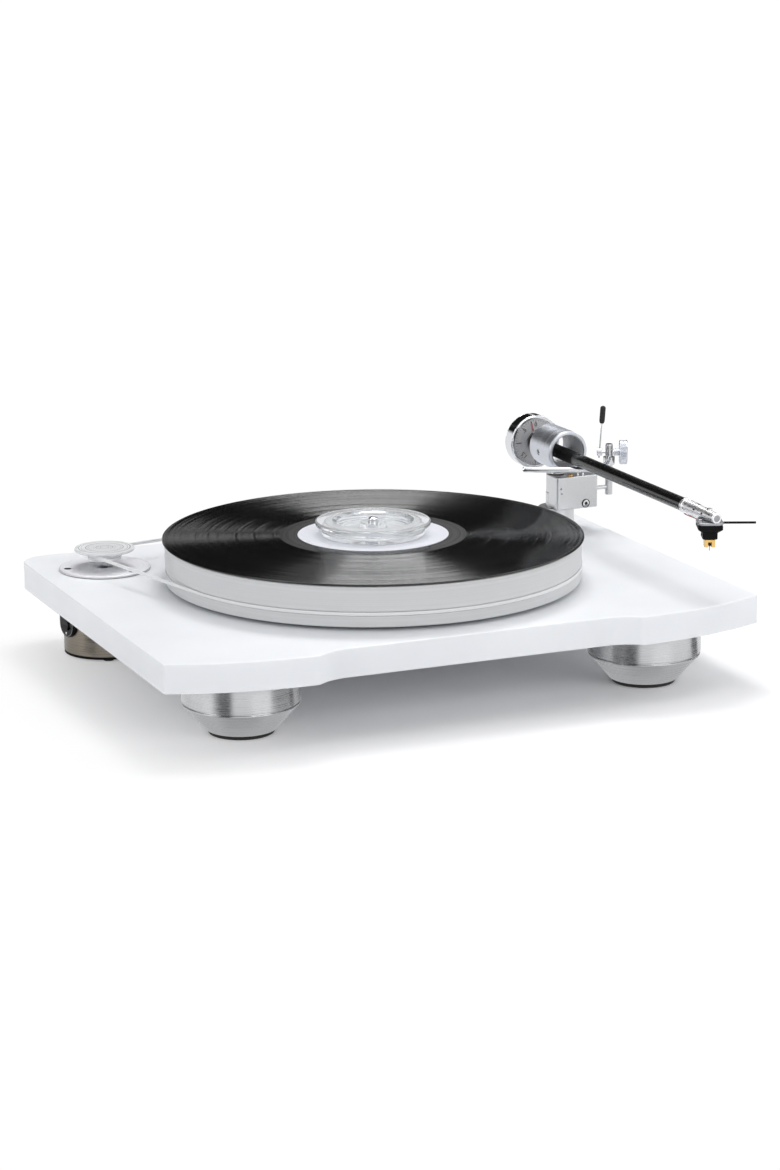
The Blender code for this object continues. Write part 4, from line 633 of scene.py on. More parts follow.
def mouldedBlack(name, colour, rough, gloss):
    # black ABS as moulded: the polish of the mould gives its gloss
    sockets = {"IOR": 1.53, "Specular IOR Level": gloss}
    return finish(
        name, colour, rough, sockets, (grain, 1.2), (rough * 0.8, rough * 1.25), None, (0.003, 0.6))


def enamel(name, colour, rough=0.5):
    # a print or a coating in one ink: slightly uneven
    return finish(name, colour, rough, {"IOR": 1.5}, (grain, 0.4), (rough * 0.85, min(rough * 1.2, 1)))


# cast opal acrylic, satin faced: milky and cool, it lets light into its machined edges;
# its satin grain is really under 0.1 mm, drawn coarser, and the casting is slightly cloudy
opalSheet = finish(
    "opalAcrylicSheet", "#EFF1F5", 0.42, milky(1.49, 0.25, (0.9, 1.0, 1.1), 0.006),
    (grain, 0.8), (0.38, 0.48), None, (0.004, 1.0))
vary(opalSheet.node_tree, grain(opalSheet.node_tree, 60), "Base Color", "#ECEEF2", "#F1F3F7")
# the sheet's rounded rims, flame polished: clear gloss over the opal, so they catch thin lines of light
polishedRim = finish(
    "flamePolishedRim", "#F4F6F9", 0.12, {"IOR": 1.49}, (grain, 4.0), (0.08, 0.18))
# opal acrylic faced and turned matt on a lathe, with faint tool marks, drawn coarser; its grey colour is painted
# shade, since its upright side takes less light than the sheet's top
platterAcrylic = finish(
    "mattTurnedAcrylic", "#D4D5D6", 0.5, milky(1.49, 0.1, (1.0, 1.0, 1.0), 0.004),
    (turnedMarks, 0.9), (0.46, 0.54), ("#D1D2D3", "#D7D8D9"), (0.001, 0.5))
grooveVinyl = pressedVinyl()
# the same vinyl where it carries no groove: an even, softer gloss
plainVinyl = finish(
    "smoothVinyl", "#101011", 0.18, {"IOR": 1.5}, (turnedMarks, 1.4), (0.14, 0.22))
# uncoated paper pressed into the disc: flat white with a faint fibre
paper = finish(
    "pressedLabelPaper", "#D9DAE2", 0.75, {"IOR": 1.45}, (grain, 0.9, 4.0, (1, 0.35, 1)),
    None, ("#D5D6DE", "#DDDEE5"), (0.01, 1.0))
# clear acrylic turned and polished: bright rims, faint rings left by the tool
clearAcrylic = finish(
    "polishedClearAcrylic", "#FAFCFD", 0.02, {"IOR": 1.49, "Transmission Weight": 0.84},
    (turnedMarks, 1.2), (0.01, 0.05))
# clear acrylic left as turned: fine concentric rings that make it look frosted
satinClear = finish(
    "satinClearAcrylic", "#F4F6F7", 0.3, {"IOR": 1.49, "Transmission Weight": 0.35},
    (turnedMarks, 0.8), (0.22, 0.42), ("#EEF0F2", "#FAFBFC"))
# cast silicone belt: milky, slightly clear and dull
silicone = finish(
    "castSilicone", "#E9EAEB", 0.5, milky(1.41, 0.3, (1.0, 1.0, 1.0), 0.002),
    (grain, 0.7), (0.45, 0.6), None, (0.004, 1.0))
footAluminium = turnedAluminium("turnedAluminium", "#CFD0D2", 0.27, 0.7, 0.9)
capAluminium = turnedAluminium("facedAluminium", "#DCDCDF", 0.70, 0.6)
ringAluminium = turnedAluminium("finelyTurnedAluminium", "#D0D3DA", 0.34, 0.5, 0.6)
dialAluminium = turnedAluminium("etchedAluminium", "#B9B9BB", 0.55, 0.8)
boredAluminium = turnedAluminium("boredAluminium", "#E2E3E5", 0.72, 0.8)
# aluminium bead blasted and clear anodised: an even silky grain, really 0.1 mm, drawn coarser
blastedAluminium = finish(
    "beadBlastedAluminium", "#CDCED0", 0.28, metal(),
    (grain, 0.5, 3.0), (0.24, 0.34), None, (0.003, 0.5))
# nickel plate over a tumbled casting: pale and soft, it takes a wide, bright highlight
nickel = finish(
    "satinNickelPlate", "#F4F4F6", 0.36, metal(), (grain, 1.5, 3.0), (0.30, 0.44))
# stainless steel polished bright: near mirror, with a trace of polishing haze
steel = finish(
    "polishedStainless", "#D6D7D9", 0.08, metal(), (grain, 3.0, 3.0), (0.06, 0.14))
# nickel and chrome plate over turned brass: a hard mirror with a blue-grey cast
chrome = finish(
    "chromePlatedBrass", "#DADCDF", 0.05, metal(), (turnedMarks, 1.0), (0.04, 0.10))
# a can of stainless steel brushed round: warm grey, with a dark streak where it faces away
canSteel = finish(
    "brushedStainlessCan", "#8E877D", 0.28, metal(0.7), (grain, 1.4, 4.0, (0.08, 0.08, 3.0)),
    (0.24, 0.42), ("#857E73", "#989188"), (0.006, 0.6))
glossBlack = mouldedBlack("glossBlackMoulding", "#050506", 0.2, 0.15)
mattBlack = mouldedBlack("mattBlackMoulding", "#070708", 0.5, 0.12)
# black rubber: dull, with a slightly uneven skin
rubber = finish(
    "mouldedRubber", "#151515", 0.72, {"IOR": 1.52}, (grain, 0.8, 3.0),
    None, ("#101010", "#1B1B1B"), (0.02, 0.7))
carbon = lacqueredCarbon()
# gold coloured plating on a pressed frame: warm and softly mirrored
gold = finish("goldPlatedFrame", "#EFC67E", 0.22, metal(), (grain, 0.6), (0.16, 0.32))
# oil filled sintered bronze: dull brown with fine pores
bronze = finish(
    "sinteredBronze", "#9A6B43", 0.55, metal(), (grain, 0.4, 3.0),
    None, ("#86592F", "#A87A50"), (0.02, 1.0))
# bare turned brass, as on small terminal screws
brassMetal = finish("turnedBrass", "#D8A845", 0.2, metal(), (turnedMarks, 0.3), (0.15, 0.3))
# cast light alloy, tumbled and nickelled: a soft mid grey
greyAlloy = finish("nickelledAlloy", "#A2A3A8", 0.34, metal(), (grain, 0.5), (0.28, 0.42))
darkInk = enamel("darkDialPrint", "#2E2C2C")
redInk = enamel("redIndexPaint", "#B03A30")
# painted shade: a dark matt coat laid in holes, gaps and recesses that would be in shadow
paintedShade = enamel("paintedRecessShade", "#1B1A1A", 0.7)
stylusMetal = enamel("blackenedAluminium", "#1E1D1B", 0.4)
print("turntable: materials ready")


# plinth

plinth = {
    "left": 214.6, "right": 225.4, "back": 169.0, "recessFront": 170.0,
    "lobeOut": 8.7, "lobeRadius": 244.0, "lobePeak": 121.0, "noseRadius": 6.0,
    "stepFillet": 34.0, "backCorner": 20.0, "frontCorner": 3.0,
    "low": 42.0, "high": 62.0, "edge": 0.8,
    "motorHole": 32.5, "bearingHole": 12.3, "pillarHole": 8.3, "studHole": 4.3, "studDepth": 13.3,
}
feetPlaces = {name: axisPlace["foot_%s_turn" % name] for name in ("front_left", "front_right", "rear")}


def plinthOutline(v):
    middle = (v.right - v.left) / 2
    halfWidth = (v.right + v.left) / 2
    peak = -(v.recessFront + v.lobeOut)
    lobeCentre = (v.lobePeak, peak + v.lobeRadius)
    cornerX = halfWidth - v.frontCorner
    lobeEnd = degrees(asin((cornerX - v.lobePeak) / v.lobeRadius))
    noseCentre = (v.lobePeak, peak + v.noseRadius)
    filletY = -v.recessFront - v.stepFillet
    reach = v.stepFillet + v.noseRadius
    rise = noseCentre[1] - filletY
    run = (reach**2 - rise**2) ** 0.5
    filletCentre = (v.lobePeak - run, filletY)
    meet = degrees(atan2(rise, run))
    side = arc(filletCentre, v.stepFillet, 90, meet, 12)
    side += arc(noseCentre, v.noseRadius, 180 + meet, 270, 8)[1:]
    side += arc(lobeCentre, v.lobeRadius, 270, 270 + lobeEnd, 28)[1:]
    side += arc((cornerX, side[-1][1] + v.frontCorner), v.frontCorner, 270 + lobeEnd, 360, 6)[1:]
    side += arc((halfWidth - v.backCorner, v.back - v.backCorner), v.backCorner, 0, 90, 18)
    mirrored = [(-x, y) for x, y in reversed(side)]
    return [(x + middle, y) for x, y in side + mirrored]


def makePlinth(v):
    low, high = v.low - 3, v.high + 3
    holes = [(motor, v.motorHole, high, 96), (spindle, v.bearingHole, high, 64), (armPivot, v.pillarHole, high, 64)]
    holes += [(place, v.studHole, v.low + v.studDepth, 24) for place in feetPlaces.values()]
    cutters = [hole(radius, low, top, place.x - spindle.x, place.y - spindle.y, sides)
               for place, radius, top, sides in holes]
    shape = plate(plinthOutline(v), v.low, v.high, v.edge, 4)
    piece = makePiece("plinthSheet", shape, opalSheet, "turntable", "plinth", atSpindle, cutters)
    secondMaterial(piece, polishedRim, lambda face: 0.1 < abs(face.normal.z) < 0.97)  # the faces of its roundings


makePlinth(SimpleNamespace(**plinth))


# feet

foot = {
    "radius": 40.0, "tipRadius": 23.8, "low": 2.7, "rim": 20.0, "high": 41.7,
    "lip": 21.3, "groove": 22.0, "grooveDepth": 1.5, "grooveWidth": 1.1,
    "studHole": 4.3, "studDepth": 14.3, "padRadius": 22.4, "padHeight": 2.4, "padHollow": 9, "padHollowDepth": 0.5,
}


def makeFeet(v):
    radius, neck = v.radius, v.radius - v.grooveDepth
    grooveTop, studFloor = v.groove + v.grooveWidth / 2, v.high - v.studDepth
    hollow, depth = v.padHollow, v.padHollowDepth
    for name, place in feetPlaces.items():
        profile = turned([
            (0, v.low), (v.tipRadius, v.low, 0.7), (radius - 1.2, v.rim, 0.2),
            (radius - 0.3, v.rim + 0.4, 0.3), (radius - 0.3, v.lip, 0.2),  # a fine lip between the cone and the wall
            (neck, v.lip + 0.15, 0.1), (neck, grooveTop - 0.2, 0.1), (radius, grooveTop, 0.3),
            (radius, v.high, 0.7), (v.studHole, v.high, 0.3), (v.studHole, studFloor), (0, studFloor),
        ], 128, 4)
        at = shift(place.x, place.y)
        makePiece("foot_%s_body" % name, profile, footAluminium, "foot_" + name, "foot_body_" + name, at)
        pad = turned([
            (0, depth), (hollow, depth, 0.3), (hollow + 0.6, 0, 0.3), (v.padRadius - 0.5, 0, 0.4),
            (v.padRadius, 0.8, 0.5), (v.padRadius, v.padHeight, 0.5), (0, v.padHeight),
        ], 96)
        makePiece("foot_%s_pad" % name, pad, rubber, "foot_" + name, "foot_pad_" + name, at)
        dressNode("foot_stud_" + name, steel)


makeFeet(SimpleNamespace(**foot))
print("turntable: plinth and feet made")


# platter, record, clamp and spindle

platter = {
    "radius": 149.0, "low": 64.7, "high": 92.9, "edge": 0.9,
    "belt": 74.0, "beltRoom": 1.5, "grooveDepth": 0.9,
    "shaftHole": 4.3, "bossRecess": (8.1, 74.6), "hubRecess": (20.3, 70.6),
}
record = {
    "radius": 150.8, "low": 93.2, "high": 95.0, "rimWidth": 4.2, "landDepth": 0.15, "hole": 3.8,
    "tracks": ((145.8, 137.9), (137.0, 124.6), (123.8, 110.9), (110.0, 96.4), (95.5, 82.0), (81.2, 67.0)),
    "grooveStep": 0.6, "grooveDepth": 0.016, "sides": 256,
    "labelRadius": 54.0, "labelThickness": 0.25, "labelRecess": 0.55,
    "labelRing": (35.8, 37.6), "labelRingDepth": 0.08,  # a ring pressed in the label by the mould
}
clamp = {
    "low": 95.3, "high": 105.4, "rimRadius": 41.3, "baseRadius": 37.0, "waistRadius": 34.0,
    "baseHeight": 3.4, "rimHeight": 3.6, "dishRadius": 26.0, "dishDepth": 5.2,
    "bossRadius": 9.0, "bossDrop": 1.8, "hole": 3.8,
}
shaft = {"radius": 4.0, "spindleRadius": 3.5, "shoulder": 92.6, "tip": 107.8, "nose": 1.3}


def makePlatter(v):
    radius, groove = v.radius, v.radius - v.grooveDepth
    low, high = v.belt - v.beltRoom, v.belt + v.beltRoom
    (bossRadius, bossTop), (hubRadius, hubTop) = v.bossRecess, v.hubRecess
    profile = turned([
        (v.shaftHole, v.high, 0.3), (v.shaftHole, bossTop), (bossRadius, bossTop), (bossRadius, hubTop),
        (hubRadius, hubTop), (hubRadius, v.low, 0.4), (radius, v.low, v.edge), (radius, low, 0.25),
        (groove, low, 0.2), (groove, high, 0.2), (radius, high, 0.25), (radius, v.high, v.edge),
    ], 256, 4)
    makePiece("platterDisc", profile, platterAcrylic, "platter", "platter", atSpindle)
    for node, material in (("platter_hub", capAluminium), ("bearing_housing", capAluminium),
                           ("bearing_bush", bronze), ("thrust_ball", steel)):
        dressNode(node, material)


def makeShaft(v):
    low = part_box("bearing_shaft")[0].z / mm
    profile = turned([
        (0, low), (v.radius, low, 0.6), (v.radius, v.shoulder, 0.2), (v.spindleRadius, v.shoulder),
        (v.spindleRadius, v.tip - v.nose, 1.4), (v.spindleRadius * 0.55, v.tip - 0.4, 1.0), (0, v.tip),
    ], 48, 5)
    makePiece("spindleShaft", profile, steel, "platter", "bearing_shaft", atSpindle)


def makeRecord(v):
    radius, low, high = v.radius, v.low, v.high
    land, recess = high - v.landDepth, high - v.labelRecess
    rim, labelEdge = radius - v.rimWidth, v.labelRadius + 0.3
    body = rounded([
        (v.hole, recess), (v.hole, low, 0.2), (radius - 1.6, low, 0.8), (radius, low + 0.6, 0.5),
        (radius, high - 0.55, 0.5), (radius - 0.9, high, 0.5), (rim + 1.2, high, 0.5), (rim, land, 0.4),
    ], 4, False)
    inner = rounded([
        (labelEdge + 0.4, land), (labelEdge, land, 0.1), (labelEdge, recess), (v.hole, recess),
    ], 3, False)
    top = []
    for outer, inside in v.tracks:
        count = round((outer - inside) / v.grooveStep)
        for k in range(count + 1):
            top.append((outer - (outer - inside) * k / count, land - (v.grooveDepth if k % 2 else 0)))
    profile = body + top + inner
    disc = lathe(profile[:-1], v.sides, True)
    piece = makePiece("recordDisc", disc, grooveVinyl, "record", "record", atSpindle, even=False)

    def plain(face):
        # everything but the top between the last groove and the bead at the edge
        reach = hypot(face.center.x, face.center.y) / mm
        return face.center.z <= (land - 0.1) * mm or not v.tracks[-1][1] < reach < v.radius - 1.1

    secondMaterial(piece, plainVinyl, plain)
    paperLow, pressed = high - v.labelThickness, high - v.labelRingDepth
    edge, (ringInner, ringOuter) = v.labelRadius, v.labelRing
    label = turned([
        (v.hole, paperLow), (edge, paperLow), (edge, high, 0.12), (ringOuter, high, 0.1),
        (ringOuter - 0.4, pressed, 0.1), (ringInner + 0.4, pressed, 0.1), (ringInner, high, 0.1), (v.hole, high),
    ], 192)
    makePiece("recordLabel", label, paper, "record", "record_label", atSpindle)


def makeClamp(v):
    base, floorHeight = v.low + v.baseHeight, v.high - v.dishDepth
    rimLow, boss = v.high - v.rimHeight, v.high - v.bossDrop
    profile = turned([
        (v.hole, v.low, 0.2), (v.baseRadius, v.low, 0.5), (v.baseRadius, base, 0.9),
        (v.waistRadius, base, 0.6), (v.waistRadius, rimLow, 0.9), (v.rimRadius, rimLow, 1.2),
        (v.rimRadius, v.high, 1.3), (v.dishRadius + 3, v.high, 0.8), (v.dishRadius, v.high - 1.2, 0.8),
        (v.dishRadius - 0.8, floorHeight, 1.2), (v.bossRadius + 1, floorHeight, 0.9),
        (v.bossRadius, boss, 0.8), (v.hole, boss, 0.3),
    ], 160, 4)
    makePiece("recordClamp", profile, clearAcrylic, "clamp", "record_clamp", atSpindle)


makePlatter(SimpleNamespace(**platter))
makeShaft(SimpleNamespace(**shaft))
makeRecord(SimpleNamespace(**record))
makeClamp(SimpleNamespace(**clamp))
print("turntable: platter, record and clamp made")


# belt and pulley

drive = {
    "beltMiddle": 74.0, "beltHeight": 2.4, "beltThickness": 1.2, "platterInner": 148.4, "pulleyInner": 12.0,
    "hubLow": 69.7, "hubRadius": 12.3, "hubHigh": 76.0, "discRadius": 21.8, "discHigh": 78.0,
    "grooveDepth": 0.6, "grooveRoom": 1.5, "bore": 2.3, "boreHigh": 76.8,
    "topRings": (19.6, 15.2, 10.4, 6.0),  # fine grooves turned into the pulley's top
    "topRingHalf": 0.35, "topRingDepth": 0.12,
}


def beltPath(v, offset):
    away = Vector((motor.x - spindle.x, motor.y - spindle.y))
    big, small = v.platterInner + offset, v.pulleyInner + offset
    toMotor = degrees(atan2(away.y, away.x))
    spread = 90 - degrees(asin((big - small) / away.length))
    start, end = toMotor + spread, toMotor + 360 - spread
    points = arc((0, 0), big, start, end, 180) + arc(tuple(away), small, end - 360, start, 36)
    return [(x, y, v.beltMiddle) for x, y in points]


def makeDrive(v):
    middle = v.beltThickness / 2
    section = roundedBox(-middle, middle, -v.beltHeight / 2, v.beltHeight / 2, 0.35, 3)
    belt = sweep(beltPath(v, middle), section, loop=True)
    makePiece("driveBelt", belt, silicone, "turntable", "drive_belt", atSpindle)
    low, high = v.beltMiddle - v.grooveRoom, v.beltMiddle + v.grooveRoom
    hub, neck, half = v.hubRadius, v.hubRadius - v.grooveDepth, v.topRingHalf
    corners = [
        (0, v.boreHigh), (v.bore, v.boreHigh), (v.bore, v.hubLow, 0.2), (hub, v.hubLow, 0.6),
        (hub, low, 0.2), (neck, low, 0.2), (neck, high, 0.2), (hub, high, 0.2),
        (hub, v.hubHigh, 0.3), (v.discRadius, v.hubHigh, 0.6), (v.discRadius, v.discHigh, 0.7),
    ]
    for radius in v.topRings:
        for out, depth in ((half, 0), (0, v.topRingDepth), (-half, 0)):
            corners.append((radius + out, v.discHigh - depth, 0.1))
    corners.append((0, v.discHigh))
    makePiece("pulleyDisc", turned(corners, 128), satinClear, "pulley", "pulley", atMotor)
    dressNode("motor_shaft", steel)


makeDrive(SimpleNamespace(**drive))


# motor

can = {
    "radius": 31.3, "wall": 1.5, "low": 3.2, "high": 62.1,
    "capRadius": 33.2, "capLow": 62.4, "capHigh": 63.9, "capHole": 5.8,
    "screwAngles": (172, -62), "screwReach": 27.4, "screwHead": 2.6, "screwStem": 1.4, "screwDepth": 0.8,
    "hexSize": 1.15, "room": 0.3,  # room left round what is let in
    "switchAngle": 191.4, "plateWidth": 20.0, "plateHeight": 25.0, "plateProud": 2.2, "plateMiddle": 28.0,
    "plateScrewReach": 9.4, "plateScrewTurn": 35, "rockerWidth": 8.0, "rockerHeight": 13.0, "rockerDepth": 5.2,
    "rockerProud": 1.2, "rockerTilt": 4, "rockerDish": 0.75, "rockerSteps": 24,
    "glandAngle": 62, "glandHeight": 14.0, "glandRadius": 4.8, "glandBore": 2.8, "glandCollar": 6.2,
}


def makeMotor(v):
    inner = v.radius - v.wall
    wall = turned([
        (inner, v.low), (v.radius, v.low, 0.5), (v.radius, v.high - 3.4, 0.2), (v.radius - 0.3, v.high - 3.0, 0.2),
        (v.radius, v.high - 2.6, 0.2), (v.radius, v.high, 0.4), (inner, v.high),
    ], 128)
    outward = shift(0, 0, v.plateMiddle) @ turn(v.switchAngle, "Z") @ turn(90, "Y")
    gland = shift(0, 0, v.glandHeight) @ turn(v.glandAngle, "Z") @ turn(90, "Y")
    face = v.radius + v.plateProud
    halfHigh, halfWide = v.rockerHeight / 2 + v.room, v.rockerWidth / 2 + v.room
    window = roundedBox(-halfHigh, halfHigh, -halfWide, halfWide, 0.6, 3)
    rockerRoom = moved(plate(window, face + v.rockerProud - v.rockerDepth - 2, face + 2), outward)
    glandRoom = moved(rod(v.glandRadius + v.room, inner - 5, v.radius + 4.7, 32), gland)
    makePiece("motorCan", wall, canSteel, "turntable", "motor_housing", atMotor, [rockerRoom, glandRoom])

    places = [(v.screwReach * cos(radians(a)), v.screwReach * sin(radians(a))) for a in v.screwAngles]
    cap = turned([
        (v.capHole, v.capHigh, 0.35), (v.capHole, v.capLow, 0.2), (v.capRadius, v.capLow, 0.25),
        (v.capRadius, v.capHigh, 0.6), (v.capRadius - 1.6, v.capHigh, 0.1),
        (v.capRadius - 1.8, v.capHigh - 0.12, 0.05), (v.capRadius - 2.0, v.capHigh, 0.1),
    ], 160, 4)
    top, under = v.capHigh, v.capHigh - v.screwDepth
    rooms = [hole(v.screwHead + v.room, under - v.room, top + 2, x, y, 32) for x, y in places]
    rooms += [hole(v.screwStem + v.room, v.capLow - 1, top + 2, x, y, 24) for x, y in places]
    makePiece("motorCap", cap, capAluminium, "turntable", "motor_cap", atMotor, rooms)
    for i, (x, y) in enumerate(places, 1):
        screw = turned([
            (0, top - 5), (v.screwStem, top - 5, 0.3), (v.screwStem, under), (v.screwHead, under, 0.1),
            (v.screwHead, top - 0.05, 0.25), (0, top - 0.05),
        ], 40)
        makePiece("motorCapScrew%d" % i, screw, steel, "turntable", "motor_cap_screw_%d" % i,
                  atMotor @ shift(x, y), [hexSocket(v.hexSize, top - 0.7, top + 1)])
    makeSwitch(v, atMotor @ outward, face, window)
    against = v.radius + 0.6
    radius, collar = v.glandRadius, v.glandCollar
    body = turned([
        (v.glandBore, inner - 2.4), (radius, inner - 2.4, 0.3), (radius, against), (collar, against, 0.4),
        (collar, against + 2.4, 0.7), (radius, against + 2.4, 0.3), (radius - 0.3, against + 3.6, 0.2),
        (radius - 0.9, against + 4.0, 0.2), (radius - 0.4, against + 4.6, 0.2), (radius - 0.6, against + 6.0, 0.5),
        (v.glandBore, against + 6.0, 0.3),
    ], 48)
    makePiece("mainsGland", body, mattBlack, "turntable", "mains_gland", atMotor @ gland)
    for node, material in (("motor_base", mattBlack), ("motor_body", blastedAluminium), ("motor_foot_1", rubber),
                           ("motor_foot_2", rubber), ("motor_foot_3", rubber)):
        dressNode(node, material)


def makeSwitch(v, at, face, window):
    halfHigh, halfWide = v.plateHeight / 2, v.plateWidth / 2
    start = v.radius - halfWide / 2
    outline = roundedBox(-halfHigh, halfHigh, -halfWide, halfWide, halfWide * 0.98, 14)
    canRoom = moved(rod(v.radius + v.room, -30, 30, 128), turn(90, "Y"))
    rooms = [canRoom, plate(window, start - 3, face + 3)]
    body = plate(outline, start, face, 0.7, 3, 0.0)
    makePiece("switchPlate", body, glossBlack, "turntable", "switch_plate", at, rooms)
    # the bright line round the plate, let into its face
    section = ((1.1, face - 0.3), (0.8, face - 0.3), (0.8, face + 0.04), (1.1, face + 0.04))
    rings = [[(x, y, z) for x, y in inset(outline, depth)] for depth, z in section]
    makePiece("switchPlateLine", skin(rings, True), greyAlloy, "turntable", "", at)
    for i, side in ((1, -1), (2, 1)):
        screw = rod(1.1, face - 0.2, face + 0.35, 24, (0, 0.3))
        screwAt = at @ shift(side * v.plateScrewReach) @ turn(side * v.plateScrewTurn, "Z")
        slotRoom = slotCut(1.4, 0.18, face + 0.15, face + 1)
        makePiece("switchPlateScrew%d" % i, screw, steel, "turntable", "", screwAt, [slotRoom])
    # rocker with two shallow dished halves
    halfTall, halfBroad, proud = v.rockerHeight / 2 - v.room, v.rockerWidth / 2, v.rockerProud
    side = [(-halfTall, proud - v.rockerDepth), (halfTall, proud - v.rockerDepth)]
    for t in [1 - 2 * k / v.rockerSteps for k in range(v.rockerSteps + 1)]:
        side.append((t * halfTall, proud - v.rockerDish * (1 - abs(2 * abs(t) - 1)) ** 1.5 * (abs(t) > 0.02)))
    rings = []
    for y, size, drop in (
        (-halfBroad, 0.97, 0.2), (0.25 - halfBroad, 1, 0), (halfBroad - 0.25, 1, 0), (halfBroad, 0.97, 0.2),
    ):
        rings.append([(x * size, y, z - drop if z > 0 else z) for x, z in side])
    rockerAt = at @ shift(0, 0, face) @ turn(-v.rockerTilt, "Y")
    makePiece("mainsRocker", skin(rings), glossBlack, "switch", "power_switch", rockerAt, sharp=40)


makeMotor(SimpleNamespace(**can))
print("turntable: drive and motor made")


# arm base: pillar, block and what is set into it

armBase = {
    "flangeRadius": 13.7, "flangeLow": 62.3, "flangeHigh": 80.1, "pillarRadius": 8.0, "pillarLow": 33.5,
    "pillarHigh": 91.4, "bore": 2.6, "nutRadius": 14.0, "nutLow": 35.7, "nutHigh": 41.7, "glandRibs": 4,
    "blockLow": 80.4, "blockHigh": 105.5, "left": -7.8, "right": 26.7, "front": -17.5, "back": 9.0,
    "roundRadius": 9.5, "corner": 1.6, "edge": 0.8, "pillarRoom": 8.3, "shaftRoom": 6.3, "roomDepth": 11.3,
    "boltRight": 16.4, "boltHeight": 84.1, "boltRadius": 2.9, "boltStem": 1.5,
    "setScrews": ((-4.6, 8.6), (-4.0, 12.4)), "setScrewRadius": 0.75,  # right of the pivot and below the block's top
    "brassPlace": (4.8, -14.2), "brassTurn": 25, "brassHead": 1.9, "brassStem": 1.1, "brassHeight": 1.3,
    "pinPlaces": ((10.9, -14.0), (15.3, -14.0)), "pinRadius": 1.15, "pinHeight": 3.4,
}


def makeArmBase(v):
    pillar = turned([
        (v.bore, v.pillarLow), (v.pillarRadius, v.pillarLow, 0.5), (v.pillarRadius, v.flangeLow),
        (v.flangeRadius, v.flangeLow, 0.4), (v.flangeRadius, v.flangeHigh, 0.8),
        (v.pillarRadius, v.flangeHigh), (v.pillarRadius, v.pillarHigh, 0.3), (v.bore, v.pillarHigh),
    ], 96)
    makePiece("armPillar", pillar, blastedAluminium, "turntable", "arm_pillar", atArm)
    inner, outer, low, high = v.pillarRadius + 0.3, v.nutRadius + 0.2, v.nutLow, v.nutHigh
    nut = turned([
        (inner, low), (v.nutRadius - 1.2, low, 0.2), (outer, low + 0.8),
        (outer, high - 0.8), (v.nutRadius - 1.2, high, 0.2), (inner, high),
    ], 96, 2)
    # six flats cut on the turned nut
    near, far = v.nutRadius * cos(radians(30)), 40
    outside = [(near, -20), (far, -20), (far, 20), (near, 20)]
    flats = [moved(plate(outside, low - 2, high + 2), turn(60 * k + 30, "Z")) for k in range(6)]
    makePiece("pillarNut", nut, blastedAluminium, "turntable", "pillar_nut", atArm, flats)
    low, high = [corner.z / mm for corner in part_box("signal_gland")]
    ribs = [(v.bore, low), (4.6, low, 0.3)]
    for k in range(v.glandRibs):
        z = low + 0.8 + k * (high - low - 2) / v.glandRibs
        ribs += [(4.9 + 0.25 * k, z, 0.1), (4.3 + 0.25 * k, z + 0.8, 0.1)]
    ribs += [(5.9, high - 1.2, 0.2), (5.9, high, 0.2), (v.bore, high)]
    makePiece("signalGland", turned(ribs, 48, 2), rubber, "turntable", "signal_gland", atArm)

    corner, radius, base, top = v.corner, v.roundRadius, v.blockLow, v.blockHigh
    outline = arc((v.right - corner, v.front + corner), corner, 270, 360, 5)
    outline += arc((v.right - corner, v.back - corner), corner, 0, 90, 5)
    outline += arc((v.left + radius, v.back - radius), radius, 90, 180, 20)
    outline += arc((v.left + corner, v.front + corner), corner, 180, 270, 5)
    boltAt = shift(v.boltRight, v.front, v.boltHeight) @ turn(90, "X")
    cutters = [
        hole(v.pillarRoom, base - 2, base + v.roomDepth), hole(v.shaftRoom, top - v.roomDepth, top + 2),
        moved(lathe([(0, -0.4), (v.boltRadius + 0.4, -0.4), (v.boltRadius + 0.7, 0.8), (0, 0.8)], 48), boltAt),
        moved(rod(v.boltStem + 0.3, -10.3, 1, 24), boltAt),
    ]
    # two small set screw holes near the left of the front face
    for x, drop in v.setScrews:
        cutters.append(moved(rod(v.setScrewRadius, -2, 1, 20), shift(x, v.front, top - drop) @ turn(90, "X")))
    block = plate(outline, base, top, v.edge, 3)
    makePiece("armBlock", block, blastedAluminium, "arm_base", "arm_block", atArm, cutters)
    rim, stem = v.boltRadius - 0.3, v.boltStem
    bolt = turned([(0, -10), (stem, -10, 0.3), (stem, 0.3), (rim, 0.3, 0.1), (rim, 0.7, 0.2), (0, 0.7)], 48)
    makePiece("clampBolt", bolt, steel, "arm_base", "clamp_bolt", atArm @ boltAt, [hexSocket(1.4, 0.1, 3)])
    # painted shade: a dark hexagon at the bottom of the bolt's socket and a dark ring in the gap round its head
    makePiece("boltSocketShade", plate(ring(1.36, 6), 0.05, 0.25), paintedShade, "arm_base", "", atArm @ boltAt)
    dark = band(2.75, 3.35, 0.02, 0.3, 48, (0, 0, 0.1, 0.1), 2)
    makePiece("boltGapShade", dark, paintedShade, "arm_base", "", atArm @ boltAt)
    stem, rim, high = v.brassStem, v.brassHead, top + v.brassHeight
    terminal = turned([
        (0, top - 3), (stem, top - 3), (stem, top), (rim, top, 0.2), (rim, high, 0.5), (0, high),
    ], 32)
    terminalAt = atArm @ shift(*v.brassPlace) @ turn(v.brassTurn, "Z")
    slotRoom = slotCut(2.5, 0.25, top + 0.8, top + 3)
    makePiece("earthScrew", terminal, brassMetal, "arm_base", "", terminalAt, [slotRoom])
    radius, waist, high = v.pinRadius, v.pinRadius * 0.7, top + v.pinHeight
    for i, place in enumerate(v.pinPlaces, 1):
        pin = turned([
            (0, top - 2), (radius, top - 2), (radius, top + 1.0, 0.1), (waist, top + 1.3, 0.1),
            (waist, top + 1.9, 0.1), (radius, top + 2.2, 0.1), (radius, high, 0.5), (0, high),
        ], 32)
        makePiece("stopPin%d" % i, pin, chrome, "arm_base", "", atArm @ shift(*place))
    dressNode("pivot_bush", bronze)


makeArmBase(SimpleNamespace(**armBase))


# bearing ring

